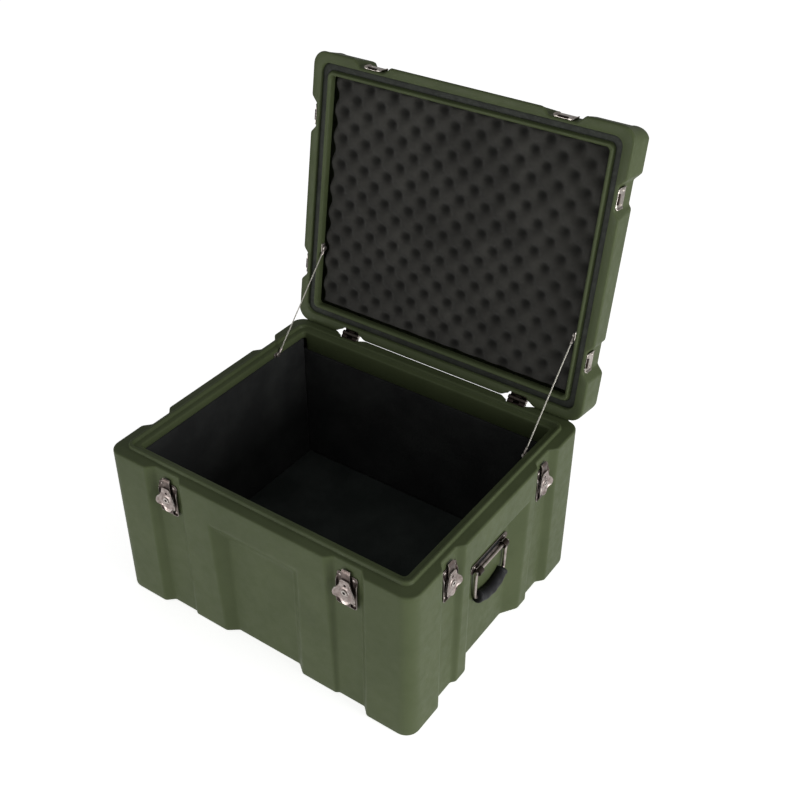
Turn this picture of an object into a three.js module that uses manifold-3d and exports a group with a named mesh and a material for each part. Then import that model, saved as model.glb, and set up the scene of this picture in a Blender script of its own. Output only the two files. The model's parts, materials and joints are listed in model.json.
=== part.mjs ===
// A hard equipment case with a hinged lid, shown open.
//
// Millimetres, +Z up. The origin is the centre of the base's underside, +X runs along the front wall and
// +Y points at the hinges. Everything on the lid is modelled closed, in one group that is turned open about
// the hinge axis.

import * as THREE from 'three';
import { mergeVertices } from 'three/addons/utils/BufferGeometryUtils.js';
import Module from 'manifold-3d';

const wasm = await Module();
wasm.setup();

// ---------------------------------------------------------------- driving dimensions

const WIDTH = 600;
const DEPTH = 500;
const BASE_HEIGHT = 300;
const LID_HEIGHT = 59;
const CORNER_RADIUS = 24;
const EDGE_RADIUS = 5;
const WALL = 6;
const GAP = 0.3;

// The rim: a flat flange that runs in to the opening, with a ridge on the base and a groove for the gasket
// in the lid.
const RIM_CLEARANCE = 0.5;
const OPENING_INSET = 38;
const OPENING_RADIUS = 10;
const BASE_RIM_THICKNESS = 14;
const REAR_APRON_HEIGHT = 39;
const REAR_APRON_THICKNESS = 5;
const LID_RIM_THICKNESS = 16;
const RIDGE_INSET = 20.5;
const RIDGE_WIDTH = 6.5;
const RIDGE_HEIGHT = 6;
const GROOVE_INSET = 17.5;
const GROOVE_WIDTH = 12.5;
const GROOVE_DEPTH = 8;
const GASKET_THICKNESS = 1.6;

// Each wall has an upright channel near each end and a wide recess in the middle, with flared sides. The
// panel between the channels leans in away from the rim, so the corners stand out as posts.
const PANEL_INSET_AT_RIM = 1.5;
const RECESS_TOP = 248;
const RECESS_SLOPE = 36;
const LONG_WALL = {
  channel: { offset: 178.5, mouth: 38, floor: 25, depth: 12.5 },
  recess: { mouth: 93, floor: 65, depth: 22 },
  baseLean: 8.5,
  lidLean: 6.5,
};
const SHORT_WALL = {
  channel: { offset: 139, mouth: 33, floor: 20, depth: 11.5 },
  recess: { mouth: 93, floor: 57, depth: 23.5 },
  baseLean: 5,
  lidLean: 6.5,
};

// The front wall of the lid slopes back. Its posts, panel and channel floors are set in by these amounts at
// the lid's top, and the channel floors begin to slope above the keepers.
const FRONT_SLOPE = { post: 12, panel: 19, channel: 23, channelStart: 27 };

// Foam lining of the base, and the foam block of the lid.
const LINING = 8;
const LID_FOAM_WIDTH = 488;
const LID_FOAM_DEPTH = 412;
const LID_FOAM_SETBACK = 18;

// Hinges.
const HINGE_Y = 248.5;
const HINGE_Z = 303.5;
const OPEN_ANGLE = THREE.MathUtils.degToRad(99);
const HINGE_WIDTH = 34;
const KNUCKLE_RADIUS = 4.6;
const KNUCKLE_WIDTH = 11;
const KNUCKLE_GAP = 0.4;
const PIN_RADIUS = 2;
const PIN_CLEARANCE = 0.3;
const LEAF_THICKNESS = 2;
const LEAF_HEIGHT = 40;

// Latches. Depths are counted outwards from the floor of the channel that the latch sits in.
const LATCH_Z = 248;
const LATCH_WIDTH = 38;
const LATCH_PLATE = { bottom: 212, top: 284, thickness: 1.6 };
const SPINDLE_RADIUS = 3;
const SPINDLE_SHOULDER = { radius: 7, top: 4.2 };
const SPINDLE_HEAD = { radius: 5, bottom: 9.2, top: 10.6 };
const HOOK = { width: 16, bottom: 217, top: 292, back: 4.6, front: 6.2, claw: 3, clawBack: 2.4 };
const HOOK_TRAVEL = 22;
const HOOK_SLOT_HALF_WIDTH = 3.6;
const WING = { back: 6.6, front: 8.8, earFront: 11, halfWidth: 19, top: 22, tip: 25 };
const KEEPER = { width: 36, bottom: 1.5, top: 25, thickness: 1.6 };
const KEEPER_LEDGE = { width: 18, bottom: 7, top: 9.5, front: 4.2 };
const RIVET = { radius: 2.6, height: 1.2 };

// Carrying handles. Depths are counted outwards from the floor of the recess.
const HANDLE_Z = 185;
const HANDLE_DEPTH = 7;
const HANDLE_HALF_SPAN = 48;
const HANDLE_DROP = 59;
const WIRE_RADIUS = 3.2;
const GRIP_RADIUS = 10;
const GRIP_BORE_CLEARANCE = 0.9;
const GRIP_HALF_LENGTH = 40;
const GRIP_DEPTH = 11;
const GRIP_BOW_OUT = 3;
const GRIP_BOW_DOWN = 9;
const BRACKET = { halfWidth: 56, bottom: 176, top: 204, thickness: 2 };
const BRACKET_RIVET = { x: 48, z: 197, radius: 3.5, height: 1.6 };
const BRACKET_SLOT = { halfWidth: 28, bottom: 190.5, top: 199.5 };
const STRAP = { offset: 36, width: 10, radius: 6.2 };

// Lid stays: wires that run taut beside the short walls when the lid is open.
const STAY_X = 257.5;
const STAY_RADIUS = 1.2;
const STAY_BASE = { y: 133, z: 292 };
const STAY_LID = { y: 103, rise: 9 };
const ANCHOR = { length: 18, height: 9, thickness: 1.5, eye: 3.2, eyeWidth: 3 };

// ---------------------------------------------------------------- materials

function material(color, roughness, metalness) {
  return () => new THREE.MeshStandardMaterial({ color, roughness, metalness });
}

const olivePlastic = material(0x4d5440, 0.55, 0);
const blackFoam = material(0x0b0c0c, 0.95, 0);
const greyFoam = material(0x2b2b29, 0.95, 0);
const blackRubber = material(0x121313, 0.8, 0);
const platedSteel = material(0xb5aca8, 0.35, 1);
const darkSteel = material(0x5a5856, 0.45, 1);

// ---------------------------------------------------------------- solids

/** A geometry as a solid that manifold-3d can cut. */
function solid(geometry) {
  const bare = geometry.clone();
  bare.deleteAttribute('normal');
  bare.deleteAttribute('uv');
  const merged = mergeVertices(bare);
  const vertProperties = Float32Array.from(merged.attributes.position.array);
  const triVerts = Uint32Array.from(merged.index.array);
  return new wasm.Manifold(new wasm.Mesh({ numProp: 3, vertProperties, triVerts }));
}

/** A solid back as a geometry. */
function geometryOf(body) {
  const { vertProperties, triVerts } = body.getMesh();
  const geometry = new THREE.BufferGeometry();
  geometry.setAttribute('position', new THREE.BufferAttribute(vertProperties, 3));
  geometry.setIndex(new THREE.BufferAttribute(triVerts, 1));
  geometry.computeVertexNormals();
  return geometry;
}

const join = (...bodies) => bodies.reduce((whole, body) => whole.add(body));
const cut = (whole, ...tools) => tools.reduce((rest, tool) => rest.subtract(tool), whole);

/** An outline through points, given as [x, y] pairs. */
const outline = (points) => new THREE.Shape(points.map(([x, y]) => new THREE.Vector2(x, y)));

/** A rectangle with round corners, centred on the origin. */
function roundedRectangle(halfX, halfY, radius) {
  const shape = new THREE.Shape();
  const quarter = Math.PI / 2;
  [[1, -1], [1, 1], [-1, 1], [-1, -1]].forEach(([sx, sy], i) => {
    shape.absarc(sx * (halfX - radius), sy * (halfY - radius), radius, (i - 1) * quarter, i * quarter);
  });
  shape.closePath();
  return shape;
}

/** An outline in X and Y, extruded from z0 to z1. */
function upright(shape, z0, z1, curveSegments = 4) {
  const geometry = new THREE.ExtrudeGeometry(shape, { depth: z1 - z0, bevelEnabled: false, curveSegments });
  return solid(geometry.translate(0, 0, z0));
}

/** An outline in Y and Z, extruded along X from x0 to x1. */
function lengthwise(shape, x0, x1, curveSegments = 4) {
  const geometry = new THREE.ExtrudeGeometry(shape, { depth: x1 - x0, bevelEnabled: false, curveSegments });
  const alongX = new THREE.Matrix4().makeBasis(
    new THREE.Vector3(0, 1, 0), new THREE.Vector3(0, 0, 1), new THREE.Vector3(1, 0, 0));
  return solid(geometry.applyMatrix4(alongX).translate(x0, 0, 0));
}

/** An outline in X and Z, extruded along Y from y0 to y1. */
function facing(shape, y0, y1, curveSegments = 3) {
  const geometry = new THREE.ExtrudeGeometry(shape, { depth: y1 - y0, bevelEnabled: false, curveSegments });
  return solid(geometry.rotateX(Math.PI / 2).translate(0, y1, 0));
}

/** A box between two corners. */
function block(x0, x1, y0, y1, z0, z1) {
  const geometry = new THREE.BoxGeometry(x1 - x0, y1 - y0, z1 - z0);
  return solid(geometry.translate((x0 + x1) / 2, (y0 + y1) / 2, (z0 + z1) / 2));
}

/** A cylinder along Y from y0 to y1. */
function stud(x, z, radius, y0, y1, segments = 12) {
  const geometry = new THREE.CylinderGeometry(radius, radius, y1 - y0, segments);
  return solid(geometry.translate(x, (y0 + y1) / 2, z));
}

/** Rivet heads at [x, z] points, standing out from a face. */
function rivets(points, face) {
  return points.map(([x, z]) => stud(x, z, RIVET.radius, face - 0.5, face + RIVET.height, 8));
}

/** A cylinder along X from x0 to x1. */
function rod(y, z, radius, x0, x1, segments = 12) {
  const geometry = new THREE.CylinderGeometry(radius, radius, x1 - x0, segments);
  return solid(geometry.rotateZ(Math.PI / 2).translate((x0 + x1) / 2, y, z));
}

/** The ring between a rounded rectangle inset from the walls by inset and one inset by inset + width. */
function rimRing(inset, width, z0, z1) {
  const outer = roundedRectangle(WIDTH / 2 - inset, DEPTH / 2 - inset, OPENING_RADIUS + width);
  const inner = roundedRectangle(WIDTH / 2 - inset - width, DEPTH / 2 - inset - width, OPENING_RADIUS);
  return cut(upright(outer, z0, z1), upright(inner, z0 - 1, z1 + 1));
}

// ---------------------------------------------------------------- wall relief
//
// In a wall's own frame X runs along the wall, Y points out of it from 0 at the posts, and Z is the case's
// own. Cutters reach OUTSIDE past the wall. grow makes a cutter larger, for the inner face of the wall.

const OUTSIDE = 30;

const WALLS = [
  { name: 'front', turn: Math.PI, reach: DEPTH / 2, form: LONG_WALL },
  { name: 'rear', turn: 0, reach: DEPTH / 2, form: LONG_WALL },
  { name: 'right', turn: -Math.PI / 2, reach: WIDTH / 2, form: SHORT_WALL },
  { name: 'left', turn: Math.PI / 2, reach: WIDTH / 2, form: SHORT_WALL },
];

/** A flared trough in plan, centred on x = centre. */
function trough(centre, { mouth, floor, depth }, grow) {
  const wide = mouth + grow;
  const deep = floor + grow;
  return outline([
    [centre - wide, OUTSIDE], [centre - wide, 0], [centre - deep, -depth - grow],
    [centre + deep, -depth - grow], [centre + wide, 0], [centre + wide, OUTSIDE],
  ]);
}

/** What is cut from a wall between z0 and z1, where its panel leans in by inset0 and inset1. */
function reliefCutter(form, z0, z1, inset0, inset1, grow) {
  const { offset } = form.channel;
  const channels = [-offset, offset].map((x) => upright(trough(x, form.channel, grow), z0, z1));
  const panel = outline([
    [OUTSIDE, z0], [OUTSIDE, z1], [-inset1 - grow, z1], [-inset0 - grow, z0],
  ]);
  return join(...channels, lengthwise(panel, -offset, offset));
}

/** The wide recess in the middle of a wall of the base, with a sloping top. */
function recessCutter({ recess }, z0, grow) {
  const plan = upright(trough(0, recess, grow), z0, RECESS_TOP + grow + 1);
  const depth = recess.depth + grow;
  const top = RECESS_TOP + grow;
  const profile = outline([
    [OUTSIDE, z0], [OUTSIDE, top], [0, top], [-depth, top - RECESS_SLOPE], [-depth, z0],
  ]);
  const reach = recess.mouth + grow + 1;
  return plan.intersect(lengthwise(profile, -reach, reach));
}

/** A cutter from a wall's own frame, in the case's. */
function inCase(body, { turn, reach }) {
  return body.translate([0, reach, 0]).rotate([0, 0, THREE.MathUtils.radToDeg(turn)]);
}

/** The outer body between two heights, with its edges rounded. */
function roundedBody(z0, z1) {
  const shape = roundedRectangle(WIDTH / 2, DEPTH / 2, CORNER_RADIUS);
  const geometry = new THREE.ExtrudeGeometry(shape, {
    depth: z1 - z0 - 2 * EDGE_RADIUS,
    bevelThickness: EDGE_RADIUS,
    bevelSize: EDGE_RADIUS,
    bevelOffset: -EDGE_RADIUS,
    bevelSegments: 3,
    curveSegments: 4,
  });
  return solid(geometry.translate(0, 0, z0 + EDGE_RADIUS));
}

/** The hollow inside the walls, before the walls' relief is taken out of it. */
function hollow(z0, z1) {
  return upright(roundedRectangle(WIDTH / 2 - WALL, DEPTH / 2 - WALL, CORNER_RADIUS - WALL), z0, z1);
}

const openingHalfX = WIDTH / 2 - OPENING_INSET;
const openingHalfY = DEPTH / 2 - OPENING_INSET;

/** The mouth of the base or lid. */
function opening(z0, z1) {
  return upright(roundedRectangle(openingHalfX, openingHalfY, OPENING_RADIUS), z0, z1);
}

// ---------------------------------------------------------------- base

function baseShell() {
  const under = BASE_HEIGHT - BASE_RIM_THICKNESS;
  const reliefs = (grow) => WALLS.map((wall) => inCase(join(
    reliefCutter(wall.form, -1, BASE_HEIGHT + 1, wall.form.baseLean, PANEL_INSET_AT_RIM, grow),
    recessCutter(wall.form, -1, grow),
  ), wall));
  const apronBottom = BASE_HEIGHT - REAR_APRON_HEIGHT;
  const apronBack = openingHalfY + REAR_APRON_THICKNESS;
  const apron = block(-WIDTH / 2, WIDTH / 2, openingHalfY, apronBack, apronBottom, under + 1);
  const inside = cut(hollow(WALL, under), ...reliefs(WALL), apron);
  const ridge = rimRing(RIDGE_INSET, RIDGE_WIDTH, BASE_HEIGHT - 1, BASE_HEIGHT + RIDGE_HEIGHT);
  const mouth = opening(under - 1, BASE_HEIGHT + 1);
  const shell = cut(roundedBody(0, BASE_HEIGHT), ...reliefs(0), inside, mouth);
  return shell.add(ridge);
}

/** The five foam panels that line the base, by name. */
function baseLining() {
  const floorTop = WALL + GAP + LINING;
  const low = floorTop + GAP;
  const top = BASE_HEIGHT - BASE_RIM_THICKNESS - GAP;
  const rearTop = BASE_HEIGHT - REAR_APRON_HEIGHT - GAP;
  const x = openingHalfX;
  const y = openingHalfY;
  return {
    lining_floor: block(-x - LINING, x + LINING, -y - LINING, y + LINING, WALL + GAP, floorTop),
    lining_front: block(-x - LINING, x + LINING, -y - LINING, -y, low, top),
    lining_rear: block(-x - LINING, x + LINING, y, y + LINING, low, rearTop),
    lining_left: block(-x - LINING, -x, -y + GAP, y - GAP, low, top),
    lining_right: block(x, x + LINING, -y + GAP, y - GAP, low, top),
  };
}

// ---------------------------------------------------------------- lid, modelled closed

const lidRim = BASE_HEIGHT + RIM_CLEARANCE;
const lidTop = lidRim + LID_HEIGHT;

/** What the lid's front wall loses so that it slopes back. */
function slopeCutter({ channel }, grow) {
  const slope = (z0, inset0, inset1, reach) => lengthwise(outline([
    [OUTSIDE, z0], [OUTSIDE, lidTop + 1], [-inset1 - grow, lidTop + 1], [-inset0 - grow, z0],
  ]), -reach, reach);
  const deepened = { ...channel, depth: FRONT_SLOPE.channel };
  const plan = [-channel.offset, channel.offset].map((x) => (
    upright(trough(x, deepened, grow), lidRim, lidTop + 1)));
  const floors = slope(lidRim + FRONT_SLOPE.channelStart, channel.depth, FRONT_SLOPE.channel, WIDTH / 2);
  return join(
    slope(lidRim - 1, 0, FRONT_SLOPE.post, WIDTH / 2),
    slope(lidRim - 1, PANEL_INSET_AT_RIM, FRONT_SLOPE.panel, channel.offset),
    join(...plan).intersect(floors),
  );
}

function lidShell() {
  const [front] = WALLS;
  const relief = (wall, grow) => (
    reliefCutter(wall.form, lidRim - 1, lidTop + 1, PANEL_INSET_AT_RIM, wall.form.lidLean, grow));
  const reliefs = (grow) => [
    ...WALLS.map((wall) => inCase(relief(wall, grow), wall)), inCase(slopeCutter(front.form, grow), front),
  ];
  const inside = cut(hollow(lidRim + LID_RIM_THICKNESS, lidTop - WALL), ...reliefs(WALL));
  const groove = rimRing(GROOVE_INSET, GROOVE_WIDTH, lidRim - 1, lidRim + GROOVE_DEPTH);
  const mouth = opening(lidRim - 1, lidRim + LID_RIM_THICKNESS + 1);
  return cut(roundedBody(lidRim, lidTop), ...reliefs(0), inside, groove, mouth);
}

function gasket() {
  const back = lidRim + GROOVE_DEPTH - GAP;
  return rimRing(GROOVE_INSET + GAP, GROOVE_WIDTH - 2 * GAP, back - GASKET_THICKNESS, back);
}

function lidFoam() {
  const x = LID_FOAM_WIDTH / 2;
  const y = LID_FOAM_DEPTH / 2;
  return block(-x, x, -y, y, lidRim + LID_FOAM_SETBACK, lidTop - WALL - GAP);
}

// ---------------------------------------------------------------- hinges, on the rear wall

const channelFloorY = DEPTH / 2 - LONG_WALL.channel.depth;
const leafBack = channelFloorY + GAP;
const leafFront = leafBack + LEAF_THICKNESS;

/** The X spans of the outer two of a hinge's three knuckles, or of the middle one. */
function knuckleSpans(outer) {
  const half = HINGE_WIDTH / 2;
  return outer ? [[-half, -half + KNUCKLE_WIDTH], [half - KNUCKLE_WIDTH, half]]
    : [[-half + KNUCKLE_WIDTH + KNUCKLE_GAP, half - KNUCKLE_WIDTH - KNUCKLE_GAP]];
}

/** One leaf: a riveted plate in the channel, a sloping web and its knuckles. side is -1 below the pin. */
function hingeLeaf(side, outer) {
  const half = HINGE_WIDTH / 2;
  const bend = HINGE_Z + side * 11;
  const end = bend + side * LEAF_HEIGHT;
  const plate = block(-half, half, leafBack, leafFront, Math.min(bend, end), Math.max(bend, end));
  const web = [
    [leafBack, bend], [leafBack, bend - side * 1.5], [HINGE_Y - 2, HINGE_Z],
    [HINGE_Y, HINGE_Z + side * 3], [leafFront, bend + side * 1.5], [leafBack, bend + side * 1.5],
  ];
  const arms = knuckleSpans(outer).map(([x0, x1]) => join(
    rod(HINGE_Y, HINGE_Z, KNUCKLE_RADIUS, x0, x1),
    lengthwise(outline(side > 0 ? web.reverse() : web), x0, x1)));
  const heads = rivets([-10, 10].flatMap((x) => [[x, bend + side * 14], [x, bend + side * 30]]), leafFront);
  const bore = rod(HINGE_Y, HINGE_Z, PIN_RADIUS + PIN_CLEARANCE, -half - 1, half + 1);
  return cut(join(plate, ...arms, ...heads), bore);
}

function hingePin() {
  return rod(HINGE_Y, HINGE_Z, PIN_RADIUS, -HINGE_WIDTH / 2 - 1, HINGE_WIDTH / 2 + 1);
}

// ---------------------------------------------------------------- latches, in a wall's frame about x = 0
//
// Y is counted from the channel's floor here, and each latch is placed in its channel by its group.

/** A plate with rounded corners, in X and Z. */
function plateOutline(halfWidth, bottom, top, radius) {
  const shape = new THREE.Shape();
  const quarter = Math.PI / 2;
  const corners = [
    [halfWidth, bottom, -1, 1], [halfWidth, top, -1, -1],
    [-halfWidth, top, 1, -1], [-halfWidth, bottom, 1, 1],
  ];
  corners.forEach(([x, z, sx, sz], i) => {
    shape.absarc(x + sx * radius, z + sz * radius, radius, (i - 1) * quarter, i * quarter);
  });
  shape.closePath();
  return shape;
}

/** The fixed plate, with the spindle that carries the wing. */
function latchPlate() {
  const { bottom, top, thickness } = LATCH_PLATE;
  const face = GAP + thickness;
  const plate = facing(plateOutline(LATCH_WIDTH / 2, bottom, top, 5), GAP, face);
  const inset = 5;
  const x = LATCH_WIDTH / 2 - inset;
  const heads = rivets([-x, x].flatMap((at) => [[at, bottom + inset], [at, top - inset]]), face);
  return join(
    plate, ...heads,
    stud(0, LATCH_Z, SPINDLE_SHOULDER.radius, face - 0.5, SPINDLE_SHOULDER.top),
    stud(0, LATCH_Z, SPINDLE_RADIUS, face, SPINDLE_HEAD.top),
    stud(0, LATCH_Z, SPINDLE_HEAD.radius, SPINDLE_HEAD.bottom, SPINDLE_HEAD.top),
  );
}

/** The hook that the wing raises: a slotted strap with a claw that catches the keeper's ledge. */
function latchHook() {
  const half = HOOK.width / 2;
  const strap = block(-half, half, HOOK.back, HOOK.front, HOOK.bottom, HOOK.top);
  const claw = block(-half, half, HOOK.clawBack, HOOK.front, HOOK.top - HOOK.claw, HOOK.top);
  const w = HOOK_SLOT_HALF_WIDTH;
  const slot = plateOutline(w, LATCH_Z - HOOK_TRAVEL - w, LATCH_Z + w, w - 0.1);
  return cut(join(strap, claw), facing(slot, HOOK.back - 1, HOOK.front + 1));
}

/** The wing that is turned by hand: broad ears at the sides, a narrow top and a pointed tip. */
function latchWing() {
  const { halfWidth: w, top, tip } = WING;
  const shape = new THREE.Shape();
  shape.moveTo(0, -tip);
  shape.quadraticCurveTo(5, -tip + 1, 8, -15);
  shape.quadraticCurveTo(w - 3, -15, w, -7);
  shape.quadraticCurveTo(w + 1, 2, w - 5, 5);
  shape.quadraticCurveTo(7, 6, 7, top);
  shape.lineTo(-7, top);
  shape.quadraticCurveTo(-7, 6, -w + 5, 5);
  shape.quadraticCurveTo(-w - 1, 2, -w, -7);
  shape.quadraticCurveTo(-w + 3, -15, -8, -15);
  shape.quadraticCurveTo(-5, -tip + 1, 0, -tip);
  const sheet = facing(shape, WING.back, WING.front);
  const ears = facing(shape, WING.front - 0.5, WING.earFront);
  const flat = block(-w + 6, w - 6, WING.front, WING.earFront + 1, -tip - 1, top + 1);
  const bore = stud(0, 0, SPINDLE_RADIUS + 0.4, WING.back - 1, WING.earFront + 1);
  return cut(sheet.add(cut(ears, flat)), bore);
}

/** The keeper on the lid, in the closed lid's heights. */
function keeper() {
  const bottom = lidRim + KEEPER.bottom;
  const top = lidRim + KEEPER.top;
  const face = GAP + KEEPER.thickness;
  const plate = facing(plateOutline(KEEPER.width / 2, bottom, top, 4), GAP, face);
  const half = KEEPER_LEDGE.width / 2;
  const ledgeBottom = lidRim + KEEPER_LEDGE.bottom;
  const ledge = block(-half, half, face - 0.5, KEEPER_LEDGE.front, ledgeBottom, lidRim + KEEPER_LEDGE.top);
  const z = (bottom + top) / 2;
  return join(plate, ledge, ...rivets([[-13, z], [13, z]], face));
}

// ---------------------------------------------------------------- handles, in a short wall's frame
//
// Y is counted from the recess floor.

/** The fixed bracket: a slotted plate with two straps round the bail's top rod. */
function handleBracket() {
  const { halfWidth, bottom, top, thickness } = BRACKET;
  const face = GAP + thickness;
  const plate = facing(plateOutline(halfWidth, bottom, top, 6), GAP, face);
  const gap = BRACKET_SLOT;
  const slot = facing(plateOutline(gap.halfWidth, gap.bottom, gap.top, 3), 0, face + 1);
  const straps = [-STRAP.offset, STRAP.offset].map((x) => {
    const x0 = x - STRAP.width / 2;
    const x1 = x + STRAP.width / 2;
    return join(
      rod(HANDLE_DEPTH, HANDLE_Z, STRAP.radius, x0, x1),
      block(x0, x1, face - 0.5, HANDLE_DEPTH, HANDLE_Z, HANDLE_Z + STRAP.radius));
  });
  const bore = rod(HANDLE_DEPTH, HANDLE_Z, WIRE_RADIUS + 0.4, -halfWidth, halfWidth);
  const { x: rivetX, z: rivetZ, radius, height } = BRACKET_RIVET;
  const heads = [-rivetX, rivetX].map((x) => stud(x, rivetZ, radius, face - 0.5, face + height));
  const wall = block(-halfWidth, halfWidth, -STRAP.radius, GAP, bottom - 20, top + 20);
  return cut(join(cut(plate, slot), ...straps, ...heads), bore, wall);
}

/** The middle of the grip, from left to right. */
function gripCurve() {
  const z = HANDLE_Z - HANDLE_DROP;
  const out = GRIP_DEPTH + GRIP_BOW_OUT * 4 / 3;
  const down = z - GRIP_BOW_DOWN * 4 / 3;
  const half = GRIP_HALF_LENGTH;
  return new THREE.CubicBezierCurve3(
    new THREE.Vector3(-half, GRIP_DEPTH, z), new THREE.Vector3(-half / 2, out, down),
    new THREE.Vector3(half / 2, out, down), new THREE.Vector3(half, GRIP_DEPTH, z));
}

/** The bail: a wire loop whose top rod turns in the bracket's straps. */
function bail() {
  const grip = gripCurve();
  const low = HANDLE_Z - HANDLE_DROP;
  const at = (x, y, z) => new THREE.Vector3(x, y, z);
  const side = (s) => [
    at(s * HANDLE_HALF_SPAN, HANDLE_DEPTH, HANDLE_Z), at(s * HANDLE_HALF_SPAN, HANDLE_DEPTH + 3, low + 14),
    at(s * (HANDLE_HALF_SPAN - 1), GRIP_DEPTH, low + 5),
  ];
  const points = [...side(-1), ...grip.getSpacedPoints(6), ...side(1).reverse()];
  const circle = new THREE.Shape().absarc(0, 0, WIRE_RADIUS, 0, 2 * Math.PI);
  const path = new THREE.CatmullRomCurve3(points);
  const loop = new THREE.ExtrudeGeometry(circle, { steps: 28, extrudePath: path, curveSegments: 4 });
  const end = HANDLE_HALF_SPAN + 1;
  return solid(loop).add(rod(HANDLE_DEPTH, HANDLE_Z, WIRE_RADIUS, -end, end));
}

/** The moulded grip on the bail's lower side. */
function grip() {
  const ring = new THREE.Shape().absarc(0, 0, GRIP_RADIUS, 0, 2 * Math.PI);
  const geometry = new THREE.ExtrudeGeometry(ring, {
    steps: 10, extrudePath: gripCurve(), curveSegments: 6,
  });
  const circle = new THREE.Shape().absarc(0, 0, WIRE_RADIUS + GRIP_BORE_CLEARANCE, 0, 2 * Math.PI);
  const points = gripCurve().getSpacedPoints(6);
  const run = new THREE.Vector3().subVectors(points[0], points[1]);
  points.unshift(points[0].clone().add(run));
  points.push(points.at(-1).clone().add(run.multiply(new THREE.Vector3(-1, 1, 1))));
  const bore = new THREE.ExtrudeGeometry(circle, {
    steps: 14, extrudePath: new THREE.CatmullRomCurve3(points), curveSegments: 4,
  });
  return cut(solid(geometry), solid(bore));
}

// ---------------------------------------------------------------- lid stays

const axis = new THREE.Vector3(1, 0, 0);
const hingePoint = new THREE.Vector3(0, HINGE_Y, HINGE_Z);

/** Where a point of the closed lid is when the lid is open. */
const whenOpen = (point) => point.clone().sub(hingePoint).applyAxisAngle(axis, -OPEN_ANGLE).add(hingePoint);

const stayBase = new THREE.Vector3(STAY_X, STAY_BASE.y, STAY_BASE.z);
const stayLid = new THREE.Vector3(STAY_X, STAY_LID.y, lidRim + STAY_LID.rise);

/** An anchor on the rim's inner face, about its eye: a plate and the eye's lug. x points at the wall. */
function anchor() {
  const wall = openingHalfX - STAY_X - GAP;
  const { length, height, thickness, eye, eyeWidth } = ANCHOR;
  const plate = block(wall - thickness, wall, -length / 2, length / 2, -height / 2, height / 2);
  const lug = rod(0, 0, eye, -eyeWidth / 2, wall - thickness + 0.5);
  return plate.add(lug);
}

/** The wire between the two anchors, with a gap at each eye. */
function stay(x) {
  const from = stayBase.clone().setX(x);
  const to = whenOpen(stayLid).setX(x);
  const along = new THREE.Vector3().subVectors(to, from).normalize();
  const clear = along.multiplyScalar(ANCHOR.eye + GAP);
  const path = new THREE.LineCurve3(from.clone().add(clear), to.clone().sub(clear));
  const circle = new THREE.Shape().absarc(0, 0, STAY_RADIUS, 0, 2 * Math.PI);
  return new THREE.ExtrudeGeometry(circle, { steps: 6, extrudePath: path, curveSegments: 4 });
}

// ---------------------------------------------------------------- the case

function piece(name, body, finish) {
  const geometry = body instanceof THREE.BufferGeometry ? body : geometryOf(body);
  const mesh = new THREE.Mesh(geometry, finish());
  mesh.name = name;
  return mesh;
}

/** A group in a wall's own frame, moved along the wall and back to the floor of its relief. */
function onWall({ turn, reach }, along, depth, ...pieces) {
  const place = new THREE.Group();
  place.position.set(along, reach - depth, 0);
  place.add(...pieces);
  const wall = new THREE.Group();
  wall.rotation.z = turn;
  wall.add(place);
  return wall;
}

const base = new THREE.Group();
const lid = new THREE.Group();
lid.position.set(0, HINGE_Y, HINGE_Z);
lid.rotation.x = -OPEN_ANGLE;
const closedLid = new THREE.Group();
closedLid.position.set(0, -HINGE_Y, -HINGE_Z);
lid.add(closedLid);

base.add(piece('base_shell', baseShell(), olivePlastic));
for (const [name, body] of Object.entries(baseLining())) {
  base.add(piece(name, body, blackFoam));
}
closedLid.add(
  piece('lid_shell', lidShell(), olivePlastic),
  piece('gasket', gasket(), blackRubber),
  piece('lid_foam', lidFoam(), greyFoam),
);

for (const [end, x] of [['left', -LONG_WALL.channel.offset], ['right', LONG_WALL.channel.offset]]) {
  const baseHinge = new THREE.Group();
  baseHinge.position.x = x;
  baseHinge.add(
    piece(`hinge_base_leaf_${end}`, hingeLeaf(-1, true), platedSteel),
    piece(`hinge_pin_${end}`, hingePin(), platedSteel),
  );
  base.add(baseHinge);
  const lidHinge = new THREE.Group();
  lidHinge.position.x = x;
  lidHinge.add(piece(`hinge_lid_leaf_${end}`, hingeLeaf(1, false), platedSteel));
  closedLid.add(lidHinge);
}

const latched = WALLS.filter(({ name }) => name !== 'rear');
for (const wall of latched) {
  const { offset, depth } = wall.form.channel;
  for (const [end, x] of [['a', -offset], ['b', offset]]) {
    const name = `${wall.name}_${end}`;
    const wing = piece(`latch_wing_${name}`, latchWing(), platedSteel);
    wing.position.z = LATCH_Z;
    base.add(onWall(
      wall, x, depth,
      piece(`latch_plate_${name}`, latchPlate(), darkSteel),
      piece(`latch_hook_${name}`, latchHook(), platedSteel),
      wing,
    ));
    closedLid.add(onWall(wall, x, depth, piece(`keeper_${name}`, keeper(), platedSteel)));
  }
}

for (const wall of WALLS.filter(({ form }) => form === SHORT_WALL)) {
  base.add(onWall(
    wall, 0, wall.form.recess.depth,
    piece(`handle_bracket_${wall.name}`, handleBracket(), platedSteel),
    piece(`handle_bail_${wall.name}`, bail(), platedSteel),
    piece(`handle_grip_${wall.name}`, grip(), blackRubber),
  ));
}

for (const [end, side] of [['left', -1], ['right', 1]]) {
  const low = piece(`stay_anchor_base_${end}`, anchor(), platedSteel);
  const high = piece(`stay_anchor_lid_${end}`, anchor(), platedSteel);
  for (const [mesh, point, group] of [[low, stayBase, base], [high, stayLid, closedLid]]) {
    mesh.position.copy(point).setX(side * STAY_X);
    mesh.rotation.z = side > 0 ? 0 : Math.PI;
    group.add(mesh);
  }
  base.add(piece(`lid_stay_${end}`, stay(side * STAY_X), platedSteel));
}

const equipmentCase = new THREE.Group();
equipmentCase.add(base, lid);

export default equipmentCase;
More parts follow.
